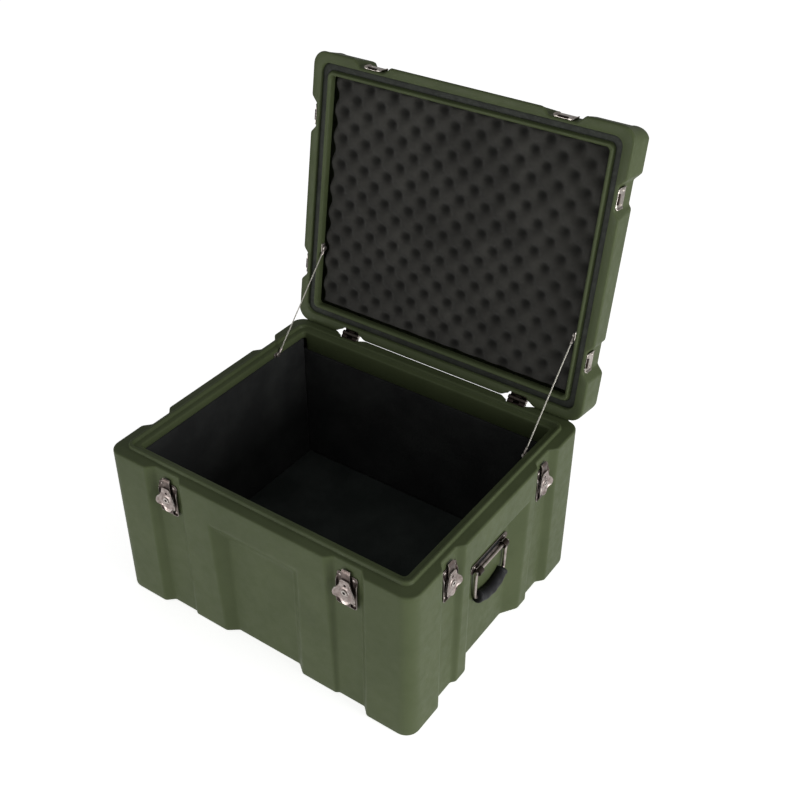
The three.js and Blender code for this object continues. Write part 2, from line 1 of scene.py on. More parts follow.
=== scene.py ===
"""The looks of a hard equipment case with a hinged lid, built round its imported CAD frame.

Shapes are worked out in millimetres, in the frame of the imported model: +Z up, +Y towards the hinges.
Everything on the lid is shaped closed and then turned open about the hinge axis, as the CAD does.
"""

import json
import math

import bpy
import numpy as np
from mathutils import Matrix, Vector, noise
from mathutils.geometry import delaunay_2d_cdt


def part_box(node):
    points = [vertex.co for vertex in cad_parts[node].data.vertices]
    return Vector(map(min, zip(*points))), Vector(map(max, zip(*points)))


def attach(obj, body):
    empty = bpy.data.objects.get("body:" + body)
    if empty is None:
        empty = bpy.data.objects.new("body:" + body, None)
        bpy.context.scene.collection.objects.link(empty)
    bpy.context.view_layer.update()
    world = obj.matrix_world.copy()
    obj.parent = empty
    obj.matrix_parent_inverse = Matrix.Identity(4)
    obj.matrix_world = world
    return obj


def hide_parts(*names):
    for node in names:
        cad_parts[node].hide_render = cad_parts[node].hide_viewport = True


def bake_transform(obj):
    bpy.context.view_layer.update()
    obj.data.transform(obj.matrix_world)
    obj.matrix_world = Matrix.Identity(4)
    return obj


MM = 0.001

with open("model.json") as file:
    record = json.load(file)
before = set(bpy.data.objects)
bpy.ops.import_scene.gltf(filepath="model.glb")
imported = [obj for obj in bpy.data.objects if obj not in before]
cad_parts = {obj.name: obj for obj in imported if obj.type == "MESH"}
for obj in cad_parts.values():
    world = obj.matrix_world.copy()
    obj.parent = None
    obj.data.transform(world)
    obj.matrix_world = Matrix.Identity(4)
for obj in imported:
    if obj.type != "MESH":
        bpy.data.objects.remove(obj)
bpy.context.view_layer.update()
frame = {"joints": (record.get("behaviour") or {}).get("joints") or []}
joints = {joint["name"]: joint for joint in frame["joints"]}
scene = bpy.context.scene


def box_mm(node):
    """The lowest and highest corner of a CAD node, in millimetres."""
    return tuple(np.array(corner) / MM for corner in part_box(node))


# ---------------------------------------------------------------- driving dimensions, in millimetres

RIDGE = {"inset": 20.5, "width": 6.5, "height": 6.0}
GROOVE = {"inset": 17.5, "width": 12.5, "depth": 8.0}
OPENING_INSET = 38.0
CORNER_RADIUS = 24.0
OPENING_RADIUS = 7.0
EDGE_RADIUS = 5.0
RIM_EDGE_RADIUS = 3.4
WALL = 6.0
GAP = 0.3
BASE_RIM_THICKNESS = 14.0
REAR_APRON_HEIGHT = 39.0
LID_RIM_THICKNESS = 16.0
RECESS_TOP = 248.0
RECESS_SLOPE = 36.0

LONG_WALL = {
    "offset": 178.5, "mouth": 38.0, "floor": 25.0, "depth": 12.5,
    "recess_mouth": 93.0, "recess_floor": 65.0, "recess_depth": 22.0,
    "base_lean": 8.5, "lid_lean": 6.5, "at_rim": 1.5,
}
SHORT_WALL = {
    "offset": 139.0, "mouth": 33.0, "floor": 20.0, "depth": 11.5,
    "recess_mouth": 93.0, "recess_floor": 57.0, "recess_depth": 23.5,
    "base_lean": 5.0, "lid_lean": 6.5, "at_rim": 1.5,
}
REAR_WALL = {**LONG_WALL, "mouth": 33.0, "floor": 20.0, "depth": 8.0, "at_rim": 0.85}
HINGE_POCKET = {"mouth": 20.4, "depth": 12.5, "slope": 4.0}
FRONT_SLOPE = {"post": 12.0, "panel": 19.0, "channel": 23.0, "channel_start": 27.0}

HALF_X, HALF_Y, ridge_top = box_mm("base_shell")[1]
BASE_HEIGHT = ridge_top - RIDGE["height"]
hinge_point = np.array(joints["lid_hinge"]["pos_m"]) / MM
OPEN_ANGLE = math.radians(joints["lid_hinge"]["range_deg"][1])
SEAM = 0.5
LID_RIM = BASE_HEIGHT + SEAM
LID_HEIGHT = 59.0
LID_TOP = LID_RIM + LID_HEIGHT
OPENING_X = HALF_X - OPENING_INSET


# ---------------------------------------------------------------- camera, floor and light

CAMERA_PLACE = (0.9152, -1.1727, 1.4476)
CAMERA_TURN = (34.65, 35.84, -0.29)
CAMERA_LENS = 51.28
SKY_LIGHT = 0.31
FLOOR_SEEN = 0.78
FLOOR_GLOW = {"From_Min": 0.7, "From_Max": 1.7, "To_Min": 0.46, "To_Max": 0.12}
FLOOR_REACH = 6.0
WHITE = (1, 1, 1, 1)


def put(value, target):
    """Gives a shader node's input a value, or links it to another node's socket."""
    if isinstance(value, bpy.types.NodeSocket):
        target.id_data.links.new(value, target)
    else:
        target.default_value = value


def fill(node, **values):
    """Puts a value into each named input of a shader node, and returns the node."""
    for name, value in values.items():
        put(value, node.inputs[name.replace("_", " ")])
    return node


def look_along(azimuth, elevation, roll):
    """A camera's rotation from its heading, height and roll in degrees. Azimuth 0 looks along +Y."""
    a, e, r = (math.radians(angle) for angle in (azimuth, elevation, roll))
    forward = Vector((-math.sin(a) * math.cos(e), math.cos(a) * math.cos(e), -math.sin(e)))
    level = Vector((math.cos(a), math.sin(a), 0))
    down = forward.cross(level)
    right = level * math.cos(r) + down * math.sin(r)
    up = -(down * math.cos(r) - level * math.sin(r))
    return Matrix((right, up, -forward)).transposed().to_4x4()


def make_camera():
    data = bpy.data.cameras.new("view")
    data.lens = CAMERA_LENS
    data.sensor_width = 36
    data.clip_end = 50
    camera = bpy.data.objects.new("view", data)
    camera.matrix_world = Matrix.Translation(CAMERA_PLACE) @ look_along(*CAMERA_TURN)
    scene.collection.objects.link(camera)
    scene.camera = camera


def area_light(name, place, target, size, power):
    data = bpy.data.lights.new(name, "AREA")
    data.shape = "RECTANGLE"
    data.size, data.size_y = size
    data.energy = power
    lamp = bpy.data.objects.new(name, data)
    lamp.location = place
    lamp.rotation_euler = (Vector(target) - Vector(place)).to_track_quat("-Z", "Y").to_euler()
    scene.collection.objects.link(lamp)


def make_sky():
    """White to the camera, and a dim even light on the case."""
    world = bpy.data.worlds.new("studio")
    scene.world = world
    world.use_nodes = True
    nodes = world.node_tree.nodes
    nodes.clear()
    path = nodes.new("ShaderNodeLightPath")
    mix = fill(nodes.new("ShaderNodeMixShader"), Fac=path.outputs["Is Camera Ray"])
    for socket, strength in ((mix.inputs[1], SKY_LIGHT), (mix.inputs[2], 1.0)):
        put(fill(nodes.new("ShaderNodeBackground"), Color=WHITE, Strength=strength).outputs[0], socket)
    fill(nodes.new("ShaderNodeOutputWorld"), Surface=mix.outputs[0])


def make_floor():
    """A white floor that glows softly round the case."""
    mesh = bpy.data.meshes.new("floor")
    corners = [(x * FLOOR_REACH, y * FLOOR_REACH, 0) for x, y in ((-1, -1), (1, -1), (1, 1), (-1, 1))]
    mesh.from_pydata(corners, [], [(0, 1, 2, 3)])
    floor = bpy.data.objects.new("floor", mesh)
    scene.collection.objects.link(floor)
    material = bpy.data.materials.new("floor")
    material.use_nodes = True
    nodes = material.node_tree.nodes
    distance = nodes.new("ShaderNodeVectorMath")
    distance.operation = "LENGTH"
    put(nodes.new("ShaderNodeTexCoord").outputs["Object"], distance.inputs[0])
    glow = fill(nodes.new("ShaderNodeMapRange"), Value=distance.outputs["Value"], **FLOOR_GLOW)
    glow.interpolation_type = "SMOOTHSTEP"
    seen = nodes.new("ShaderNodeLightPath").outputs["Is Camera Ray"]
    strength = fill(nodes.new("ShaderNodeMix"), Factor=seen, A=glow.outputs[0], B=FLOOR_SEEN)
    fill(nodes["Principled BSDF"], Base_Color=(0.8, 0.8, 0.8, 1), Roughness=0.9, Specular_IOR_Level=0.1,
         Emission_Color=WHITE, Emission_Strength=strength.outputs[0])
    mesh.materials.append(material)


def make_studio():
    """The sky and the floor, a softbox far off on the right and a low strip of light in front."""
    make_sky()
    make_floor()
    area_light("softbox", (3.4, -0.05, 0.7), (0, 0, 0.35), (1.3, 1.4), 70)
    area_light("front", (-1.1, -3.2, 0.18), (0, 0, 0.16), (2.4, 0.35), 34)
    scene.view_settings.view_transform = "Standard"
    scene.view_settings.look = "None"


# ---------------------------------------------------------------- materials

def linear(red, green, blue):
    """A display colour from 0 to 255 as the linear colour that shaders use."""
    def channel(value):
        value /= 255
        return value / 12.92 if value <= 0.04045 else ((value + 0.055) / 1.055) ** 2.4
    return (channel(red), channel(green), channel(blue), 1.0)


class Finish:
    """A material under construction: a Principled shader and the nodes that feed it."""

    def __init__(self, name, roughness=0.5, metallic=0.0, specular=0.5):
        self.material = bpy.data.materials.new(name)
        self.material.use_nodes = True
        self.nodes = self.material.node_tree.nodes
        self.shader = fill(self.nodes["Principled BSDF"], Roughness=roughness, Metallic=metallic,
                           Specular_IOR_Level=specular)
        self.place = self.nodes.new("ShaderNodeTexCoord").outputs["Object"]
        self.normal = None

    def node(self, kind, **values):
        return fill(self.nodes.new(f"ShaderNode{kind}"), **values)

    def stretched(self, scale):
        """The object's coordinates, scaled by x, y and z."""
        return self.node("Mapping", Scale=scale, Vector=self.place).outputs[0]

    def noise(self, scale, detail=3.0, place=None):
        node = self.node("TexNoise", Scale=scale, Detail=detail, Roughness=0.55, Vector=place or self.place)
        return node.outputs["Fac"]

    def cells(self, scale):
        return self.node("TexVoronoi", Scale=scale, Vector=self.place).outputs["Distance"]

    def fit(self, value, low, high, to_low=0.0, to_high=1.0):
        """value from low to high, mapped to a new range and clamped."""
        return self.node("MapRange", Value=value, From_Min=low, From_Max=high, To_Min=to_low,
                         To_Max=to_high).outputs[0]

    def mix(self, amount, first, second):
        """Two colours mixed. Each is a colour or a socket."""
        node = self.node("Mix", Factor=amount)
        node.data_type = "RGBA"
        for name, colour in (("A", first), ("B", second)):
            put(colour, next(s for s in node.inputs if s.name == name and s.type == "RGBA"))
        return next(s for s in node.outputs if s.type == "RGBA")

    def attribute(self, name):
        node = self.node("Attribute")
        node.attribute_name = name
        return node.outputs["Fac"]

    def edges(self, low, high):
        """1 on sharp outer edges and 0 elsewhere. With low above high, 1 down in inner corners."""
        return self.fit(self.node("NewGeometry").outputs["Pointiness"], low, high)

    def creases(self, low, high, most):
        """most down in sharp inner corners and 0 elsewhere."""
        return self.fit(self.node("NewGeometry").outputs["Pointiness"], low, high, most, 0.0)

    def colour(self, socket):
        fill(self.shader, Base_Color=socket)

    def roughness(self, value, low, high):
        fill(self.shader, Roughness=self.fit(value, 0.3, 0.7, low, high))

    def bump(self, height, distance, strength):
        """Adds relief of the given height in metres on top of what is there."""
        node = self.node("Bump", Strength=strength, Distance=distance, Height=height)
        if self.normal is not None:
            fill(node, Normal=self.normal)
        self.normal = node.outputs["Normal"]
        fill(self.shader, Normal=self.normal)


def moulded_plastic():
    """Olive rotomoulded plastic: faint mottling, a fine grain, uneven walls, sharp outer edges a touch
    lighter from wear and a painted highlight, and painted shade in inner corners.
    """
    finish = Finish("olive_plastic", specular=0.16)
    mottled = finish.mix(finish.fit(finish.noise(9, 5), 0.32, 0.68), linear(71, 80, 52), linear(80, 89, 60))
    speckled = finish.mix(finish.fit(finish.noise(1100, 2), 0.42, 0.75, 0, 0.3), mottled, linear(96, 106, 74))
    # sharp outer edges a touch lighter: partly wear, partly a painted highlight
    edge_worn_and_highlit = finish.mix(finish.fit(finish.edges(0.51, 0.60), 0, 1, 0, 0.03), speckled, linear(118, 124, 98))
    # painted shade: darker olive down in sharp inner corners and creases
    crease_shaded = finish.mix(finish.creases(0.40, 0.49, 0.4), edge_worn_and_highlit, linear(40, 46, 28))
    finish.colour(crease_shaded)
    finish.roughness(finish.noise(60, 4), 0.40, 0.56)
    finish.bump(finish.noise(7, 2), 0.0022, 0.22)
    finish.bump(finish.noise(170, 2), 0.0004, 0.35)
    finish.bump(finish.noise(1300, 2), 0.00012, 0.6)
    return finish.material


def lining_foam(name, dark, pale):
    """Closed-cell foam, nearly black, with paler scuffed patches."""
    finish = Finish(name, roughness=0.93, specular=0.25)
    patches = finish.mix(finish.fit(finish.noise(11, 4), 0.42, 0.72), dark, pale)
    finish.colour(finish.mix(finish.fit(finish.cells(900), 0.0, 0.6, 0.0, 0.6), patches, dark))
    finish.shader.inputs["Sheen Weight"].default_value = 0.04
    finish.bump(finish.noise(38, 3), 0.0016, 0.4)
    finish.bump(finish.cells(750), 0.0005, 0.7)
    return finish.material


def convoluted_foam():
    """Open-cell charcoal foam, with painted shade down in its pits."""
    finish = Finish("grey_foam", roughness=0.95, specular=0.15)
    tone = finish.mix(finish.fit(finish.noise(14, 4), 0.35, 0.7), linear(54, 53, 50), linear(68, 67, 63))
    grain = finish.mix(finish.fit(finish.noise(1500, 2), 0.35, 0.7, 0.0, 0.5), tone, linear(54, 54, 52))
    # painted shade: darker down in the pits and on the pad's sides, from a point attribute
    finish.colour(finish.mix(finish.attribute("pit_shade"), grain, linear(32, 32, 30)))
    finish.shader.inputs["Sheen Weight"].default_value = 0.08
    finish.bump(finish.cells(620), 0.0007, 0.8)
    finish.bump(finish.noise(1700, 2), 0.0003, 0.6)
    return finish.material


def rubber(name, dark, pale):
    finish = Finish(name, specular=0.3)
    finish.colour(finish.mix(finish.fit(finish.noise(45, 4), 0.35, 0.7), dark, pale))
    finish.roughness(finish.noise(160, 3), 0.48, 0.66)
    finish.bump(finish.noise(900, 2), 0.0002, 0.6)
    return finish.material


def plated_steel(name, dark, pale, low, high):
    """Plated sheet steel with faint drawing lines, blotches, painted highlights on its edges and painted
    shade in its creases.
    """
    finish = Finish(name, metallic=1.0)
    blotches = finish.mix(finish.fit(finish.noise(110, 4), 0.36, 0.64), dark, pale)
    # painted highlight: near-white along sharp outer edges
    edge_highlit = finish.mix(finish.fit(finish.edges(0.52, 0.60), 0, 1, 0, 0.75), blotches, linear(218, 213, 206))
    # painted shade: dark brown down in inner creases
    finish.colour(finish.mix(finish.edges(0.49, 0.44), edge_highlit, linear(58, 50, 46)))
    lines = finish.noise(30, 3, place=finish.stretched((60, 60, 2)))
    finish.roughness(lines, low, high)
    finish.bump(lines, 0.00008, 0.5)
    finish.bump(finish.noise(240, 3), 0.00012, 0.5)
    return finish.material


OLIVE = moulded_plastic()
LINING = lining_foam("black_foam", linear(33, 34, 34), linear(61, 63, 61))
FLOOR_LINING = lining_foam("black_foam_floor", linear(40, 45, 43), linear(66, 71, 68))
LID_FOAM = convoluted_foam()
RUBBER = rubber("black_rubber", linear(14, 15, 17), linear(27, 28, 31))
SEAL = rubber("seal_rubber", linear(34, 37, 31), linear(50, 54, 46))
STEEL = plated_steel("plated_steel", linear(146, 132, 127), linear(186, 175, 170), 0.28, 0.48)
BRIGHT_STEEL = plated_steel("bright_steel", linear(178, 168, 160), linear(214, 206, 198), 0.26, 0.42)
STAY_WIRE = plated_steel("stay_wire", linear(150, 154, 136), linear(188, 190, 172), 0.38, 0.55)
# painted shade: a darker copy of the plated steel, for latch trays, hook straps and handle plates that sit in
# shade
SHADED_STEEL = plated_steel("dark_steel", linear(88, 78, 74), linear(122, 110, 105), 0.34, 0.50)


# ---------------------------------------------------------------- meshes

def opened(points):
    """Points of the closed lid, where they are when the lid is open."""
    c, s = math.cos(-OPEN_ANGLE), math.sin(-OPEN_ANGLE)
    x, y, z = (np.asarray(points, float) - hinge_point).T
    return np.stack([x, y * c - z * s, y * s + z * c], 1) + hinge_point


def merged(*parts):
    """Several (points, faces) as one."""
    points, faces, count = [], [], 0
    for part_points, part_faces in parts:
        points.append(np.asarray(part_points, float))
        faces += [tuple(index + count for index in face) for face in part_faces]
        count += len(part_points)
    return np.concatenate(points), faces


def turned_over(faces):
    return [tuple(reversed(face)) for face in faces]


def bands(rings, count, closed=False):
    """The faces between rings of count points each, and from the last ring to the first one if closed."""
    faces = []
    for i in range(rings if closed else rings - 1):
        here, there = i * count, (i + 1) % rings * count
        for k in range(count):
            after = (k + 1) % count
            faces.append((here + k, here + after, there + after, there + k))
    return faces


def moved(shape, matrix):
    """A shape after a 4x4 matrix in millimetres. A mirroring matrix also turns its faces over."""
    points, faces = shape
    matrix = np.array(matrix, float)
    if np.linalg.det(matrix[:3, :3]) < 0:
        faces = turned_over(faces)
    return np.asarray(points) @ matrix[:3, :3].T + matrix[:3, 3], faces


def piece(name, shape, material, body, stands_for=None, sharp=40, bevel=0.0):
    """A new object that rides on a body. sharp is the angle from which an edge isn't shaded smooth."""
    points, faces = shape
    mesh = bpy.data.meshes.new(name)
    mesh.from_pydata((np.asarray(points) * MM).tolist(), [], faces)
    mesh.materials.append(material)
    mesh.shade_smooth()
    if sharp:
        mesh.set_sharp_from_angle(angle=math.radians(sharp))
    obj = bpy.data.objects.new(name, mesh)
    scene.collection.objects.link(obj)
    if bevel:
        edge = obj.modifiers.new("edge", "BEVEL")
        edge.width = bevel * MM
        edge.segments = 2
        edge.limit_method = "ANGLE"
        edge.angle_limit = math.radians(35)
    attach(obj, body)
    if stands_for:
        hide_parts(stands_for)
    return obj


def ramp(value, start, end):
    """0 up to start, then evenly up to 1 at end. With start above end it rises the other way."""
    return np.clip((value - start) / (end - start), 0, 1)


def bulge(value, centre, width):
    return np.exp(-((value - centre) / width) ** 2)


def smooth_max(a, b, width):
    """The larger of two heights, with the corner where they meet rounded over width."""
    h = np.clip(0.5 + 0.5 * (a - b) / width, 0, 1)
    return b * (1 - h) + a * h + width * h * (1 - h)


def smooth_min(a, b, width):
    return -smooth_max(-np.asarray(a, float), -np.asarray(b, float), width)


def arc(centre, radius, start, end, steps):
    """Points on an arc, with angles in degrees."""
    return [
        (centre[0] + radius * math.cos(math.radians(a)), centre[1] + radius * math.sin(math.radians(a)))
        for a in np.linspace(start, end, steps + 1)
    ]


def rounded(x0, x1, z0, z1, radius, steps=5):
    """The outline of a rectangle with round corners."""
    return (
        arc((x1 - radius, z0 + radius), radius, -90, 0, steps)
        + arc((x1 - radius, z1 - radius), radius, 0, 90, steps)
        + arc((x0 + radius, z1 - radius), radius, 90, 180, steps)
        + arc((x0 + radius, z0 + radius), radius, 180, 270, steps)
    )


def circle(x, z, radius, steps=24):
    return arc((x, z), radius, 0, 360, steps)[:-1]


def bezier(start, control, end, steps):
    """Points on a quadratic curve, without its start."""
    t = np.linspace(0, 1, steps + 1)[1:, None]
    curve = (1 - t) ** 2 * np.array(start) + 2 * t * (1 - t) * np.array(control) + t ** 2 * np.array(end)
    return [tuple(point) for point in curve]


def inside(points, outline):
    """Which points lie inside a closed outline."""
    points = np.asarray(points, float)
    corners = np.asarray(outline, float)
    result = np.zeros(len(points), bool)
    for (x0, z0), (x1, z1) in zip(corners, np.roll(corners, -1, 0)):
        crosses = (z0 > points[:, 1]) != (z1 > points[:, 1])
        with np.errstate(divide="ignore", invalid="ignore"):
            at = (x1 - x0) * (points[:, 1] - z0) / (z1 - z0) + x0
        result ^= crosses & (points[:, 0] < at)
    return result


def clearance(points, outline):
    """Each point's distance from an outline."""
    points = np.asarray(points, float)
    corners = np.asarray(outline, float)
    nearest = np.full(len(points), 1e9)
    for start, end in zip(corners, np.roll(corners, -1, 0)):
        along = end - start
        t = np.clip(((points - start) @ along) / max(along @ along, 1e-12), 0, 1)
        nearest = np.minimum(nearest, np.linalg.norm(points - start - t[:, None] * along, axis=1))
    return nearest


def divided(loop, longest):
    """A closed outline with extra points along its straight sides."""
    points = []
    for start, end in zip(loop, [*loop[1:], loop[0]]):
        count = max(1, math.ceil(math.dist(start, end) / longest))
        points += [tuple(start[i] + (end[i] - start[i]) * k / count for i in (0, 1)) for k in range(count)]
    return points


def stamped(outline, thickness, height, holes=(), step=1.6):
    """Sheet metal: an outline in X and Z, its middle raised along Y by height(x, z, edge distance)."""
    def on_sheet(places):
        return inside(places, outline) & ~np.any([inside(places, hole) for hole in holes] or [False], 0)

    loops = [divided(loop, step * 1.5) for loop in (outline, *holes)]
    fixed = [point for loop in loops for point in loop]
    edges, start = [], 0
    for loop in loops:
        edges += [(start + i, start + (i + 1) % len(loop)) for i in range(len(loop))]
        start += len(loop)
    corners = np.array(outline)
    low, high = corners.min(0), corners.max(0)
    grid = np.array([
        (x + (row % 2) * step / 2, z)
        for row, z in enumerate(np.arange(low[1] + step / 2, high[1], step * 0.87))
        for x in np.arange(low[0] + step / 2, high[0], step)
    ]).reshape(-1, 2)
    keep = on_sheet(grid) & np.all([clearance(grid, loop) > step * 0.45 for loop in (outline, *holes)], 0)
    points = fixed + [tuple(p) for p in grid[keep]]
    flat, _, triangles = delaunay_2d_cdt([Vector(p) for p in points], edges, [], 0, 1e-4)[:3]
    flat = np.array([tuple(p) for p in flat])
    shown = on_sheet(flat[np.array(triangles)].mean(1))
    triangles = [tuple(t) for t, ok in zip(triangles, shown) if ok]
    used = sorted({index for t in triangles for index in t})
    number = {old: new for new, old in enumerate(used)}
    flat = flat[used]
    triangles = [tuple(number[index] for index in t) for t in triangles]
    edge = clearance(flat, outline)
    raised = np.stack([flat[:, 0], height(flat[:, 0], flat[:, 1], edge), flat[:, 1]], 1)
    corners = raised[np.array(triangles)]
    normals = np.cross(corners[:, 1] - corners[:, 0], corners[:, 2] - corners[:, 0])
    at_points = np.zeros_like(raised)
    for k in range(3):
        np.add.at(at_points, np.array(triangles)[:, k], normals)
    at_points /= np.linalg.norm(at_points, axis=1)[:, None]
    count = len(raised)
    both = np.concatenate([raised + at_points * thickness / 2, raised - at_points * thickness / 2])
    faces = list(triangles) + [tuple(index + count for index in reversed(t)) for t in triangles]
    sides = {(t[i], t[(i + 1) % 3]) for t in triangles for i in range(3)}
    faces += [(a + count, b + count, b, a) for a, b in sorted(sides) if (b, a) not in sides]
    return both, faces


def flat_at(level):
    """A height for stamped() that is the same all over."""
    return lambda x, z, edge: np.full_like(x, level)


def lathe(profile, segments=24):
    """A (radius, height) profile turned about Y, from axis to axis."""
    points, faces = [(0.0, profile[0][1], 0.0)], []
    ring = profile[1:-1]
    for radius, height in ring:
        for k in range(segments):
            angle = 2 * math.pi * k / segments
            points.append((radius * math.cos(angle), height, radius * math.sin(angle)))
    points.append((0.0, profile[-1][1], 0.0))
    for k in range(segments):
        after = (k + 1) % segments
        faces.append((0, 1 + k, 1 + after))
        for i in range(len(ring) - 1):
            row = 1 + i * segments
            faces.append((row + k, row + segments + k, row + segments + after, row + after))
        row = 1 + (len(ring) - 1) * segments
        faces.append((row + k, len(points) - 1, row + after))
    return np.array(points), faces


def tube(path, radius, sides=12, closed=False):
    """A round tube along points. radius is one number or one for each point."""
    path = np.asarray(path, float)
    count = len(path)
    radii = np.broadcast_to(radius, (count,))
    if closed:
        runs = np.roll(path, -1, 0) - np.roll(path, 1, 0)
    else:
        runs = np.gradient(path, axis=0)
    runs /= np.linalg.norm(runs, axis=1)[:, None]
    side = np.cross(runs[0], (0, 0, 1) if abs(runs[0][2]) < 0.9 else (1, 0, 0))
    points = []
    for centre, run, r in zip(path, runs, radii):
        side = side - run * (side @ run)
        side /= np.linalg.norm(side)
        other = np.cross(run, side)
        for k in range(sides):
            angle = 2 * math.pi * k / sides
            points.append(centre + r * (math.cos(angle) * side + math.sin(angle) * other))
    faces = bands(count, sides, closed)
    if not closed:
        faces.append(tuple(reversed(range(sides))))
        faces.append(tuple(range((count - 1) * sides, count * sides)))
    return np.array(points), faces


def strap(path, half_thickness, start, end):
    """A strip bent along (y, z) points, from X = start to X = end."""
    path = np.array([(0.0, y, z) for y, z in path])
    run = np.gradient(path, axis=0)
    run /= np.linalg.norm(run, axis=1)[:, None]
    side = np.stack([run[:, 0], -run[:, 2], run[:, 1]], 1) * half_thickness
    rim = np.concatenate([path + side, (path - side)[::-1]])
    count, half = len(rim), len(path)
    faces = [(k, (k + 1) % count, (k + 1) % count + count, k + count) for k in range(count)]
    for k in range(half - 1):
        other = count - 1 - k
        faces.append((k + 1, k, other, other - 1))
        faces.append((count + k, count + k + 1, count + other - 1, count + other))
    return np.concatenate([rim + (start, 0, 0), rim + (end, 0, 0)]), faces


def rivet(x, z, base, radius=2.7, height=1.4):
    """A domed rivet head on a face at Y = base."""
    dome = [(0.94, 0.45), (0.75, 0.78), (0.45, 0.95), (0, 1)]
    curve = [(radius * across, height * up) for across, up in dome]
    points, faces = lathe([(0, -0.8), (radius, -0.8), (radius, 0.15), *curve], 20)
    return points + np.array([x, base, z]), faces


# ---------------------------------------------------------------- the moulded shells
#
# A shell is a stack of rings round the case. A ring has an inset from the nominal walls and a height in each
# of its columns, and the columns stand close together where the walls' relief turns.

CORNER_STEPS = 10
RELIEF_MARGIN = 5.0
CHANNEL_BLEND = 2.4
POCKET_BLEND = 1.5
RECESS_BLEND = 2.2
REAR_RIM_RADIUS = 0.5
INNER_LEVELS = (262, 244, 224, 200, 110)
LID_INNER_LEVELS = (30, 42)
FINE_STEP = 3.0
COARSE_STEP = 9.0


def stations(form, end):
    """Where the columns of one wall stand, from one end to the other."""
    middle, mouth, flat = form["offset"], form["mouth"] + 4, form["floor"] - RELIEF_MARGIN
    turns = [
        (0, 9), (form["recess_floor"] - 8, 1.6), (form["recess_mouth"] + 6, 6), (middle - mouth, 1.4),
        (middle - flat, 5), (middle + flat, 1.4), (middle + mouth, 6), (end, None),
    ]
    places = [0.0]
    for (start, step), (stop, _) in zip(turns, turns[1:]):
        count = max(1, math.ceil((stop - start) / step))
        places += list(np.linspace(start, stop, count + 1)[1:])
    return np.array([-p for p in reversed(places[1:])] + places)


class Columns:
    """The columns of the case's rings, anticlockwise from above, front wall first."""

    def __init__(self):
        self.wall, self.along, self.angle = [], [], []
        for wall in range(4):
            form, half = self.form(wall)
            for u in stations(form, half - CORNER_RADIUS):
                self.wall.append(wall)
                self.along.append(u)
                self.angle.append(np.nan)
            for k in range(1, CORNER_STEPS):
                self.wall.append(wall)
                self.along.append(np.nan)
                self.angle.append(math.radians(90 * (wall - 1) + 90 * k / CORNER_STEPS))
        self.wall, self.along, self.angle = map(np.array, (self.wall, self.along, self.angle))
        self.straight = np.isnan(self.angle)
        self.count = len(self.wall)

    @staticmethod
    def form(wall):
        """A wall's relief, and half its length."""
        return ((LONG_WALL, HALF_X), (SHORT_WALL, HALF_Y), (REAR_WALL, HALF_X), (SHORT_WALL, HALF_Y))[wall]

    def ring(self, inset, height):
        """The points of a ring, where inset and height are numbers or one for each column."""
        inset = np.broadcast_to(inset, (self.count,)).astype(float)
        height = np.broadcast_to(height, (self.count,)).astype(float)
        shrink = np.clip(inset / OPENING_INSET, 0, 1)
        radius = CORNER_RADIUS + (OPENING_RADIUS - CORNER_RADIUS) * shrink
        points = np.zeros((self.count, 3))
        for wall in range(4):
            form, half = self.form(wall)
            reach = HALF_Y if wall % 2 == 0 else HALF_X
            mine = (self.wall == wall) & self.straight
            u, d, r = self.along[mine], inset[mine], radius[mine]
            fixed = form["offset"] + form["mouth"] + RELIEF_MARGIN
            share = (np.abs(u) - fixed) / (half - CORNER_RADIUS - fixed)
            slid = np.sign(u) * (fixed + share * (half - d - r - fixed))
            u = np.where(share > 0, slid, u)
            turn = math.pi / 2 * wall
            out = reach - d
            points[mine, 0] = u * math.cos(turn) + out * math.sin(turn)
            points[mine, 1] = u * math.sin(turn) - out * math.cos(turn)
        bent = ~self.straight
        signs = np.array([(1, -1), (1, 1), (-1, 1), (-1, -1)])[self.wall[bent]]
        centre = signs * (np.array([HALF_X, HALF_Y]) - (inset + radius)[bent][:, None])
        points[bent, 0] = centre[:, 0] + radius[bent] * np.cos(self.angle[bent])
        points[bent, 1] = centre[:, 1] + radius[bent] * np.sin(self.angle[bent])
        points[:, 2] = height
        return points

    def rings(self, profile, inset=0.0, height=0.0):
        """Rings along a profile of insets and heights, counted from a given inset and height."""
        return [self.ring(inset + d, height + z) for d, z in profile]

    def relief(self, plane, channel_depth, recess_at):
        """How far each column is set in. Plane gives the insets of a wall's posts and panel, channel_depth
        its channel's depth and recess_at its recess's depth, or None if it has no recess."""
        total = np.zeros(self.count)
        for wall in range(4):
            form, _ = self.form(wall)
            post, panel = plane(form, wall)
            mine = (self.wall == wall) & self.straight
            u = np.abs(self.along[mine])
            depth = channel_depth(form, wall)
            slope = depth / (form["mouth"] - form["floor"])
            channel = smooth_min(slope * (form["mouth"] - np.abs(u - form["offset"])), depth, CHANNEL_BLEND)
            level = smooth_max(np.where(u < form["offset"], panel, post), channel, CHANNEL_BLEND)
            if wall == 2:
                away = HINGE_POCKET["mouth"] - np.abs(u - form["offset"])
                pocket = smooth_min(HINGE_POCKET["slope"] * away, HINGE_POCKET["depth"], POCKET_BLEND)
                level = smooth_max(level, pocket, POCKET_BLEND)
            top = recess_at(form)
            if top is not None:
                deepest, mouth = form["recess_depth"], form["recess_mouth"]
                plan = deepest / (mouth - form["recess_floor"]) * (mouth - u)
                hollow = smooth_min(smooth_min(plan, top, 3), deepest, RECESS_BLEND)
                level = smooth_max(level, hollow, RECESS_BLEND)
            total[mine] = level
        for wall in range(4):
            mine = np.flatnonzero((self.wall == wall) & ~self.straight)
            first = total[mine[0] - 1]
            last = total[(mine[-1] + 1) % self.count]
            total[mine] = first + (last - first) * np.arange(1, CORNER_STEPS) / CORNER_STEPS
        return total


columns = Columns()


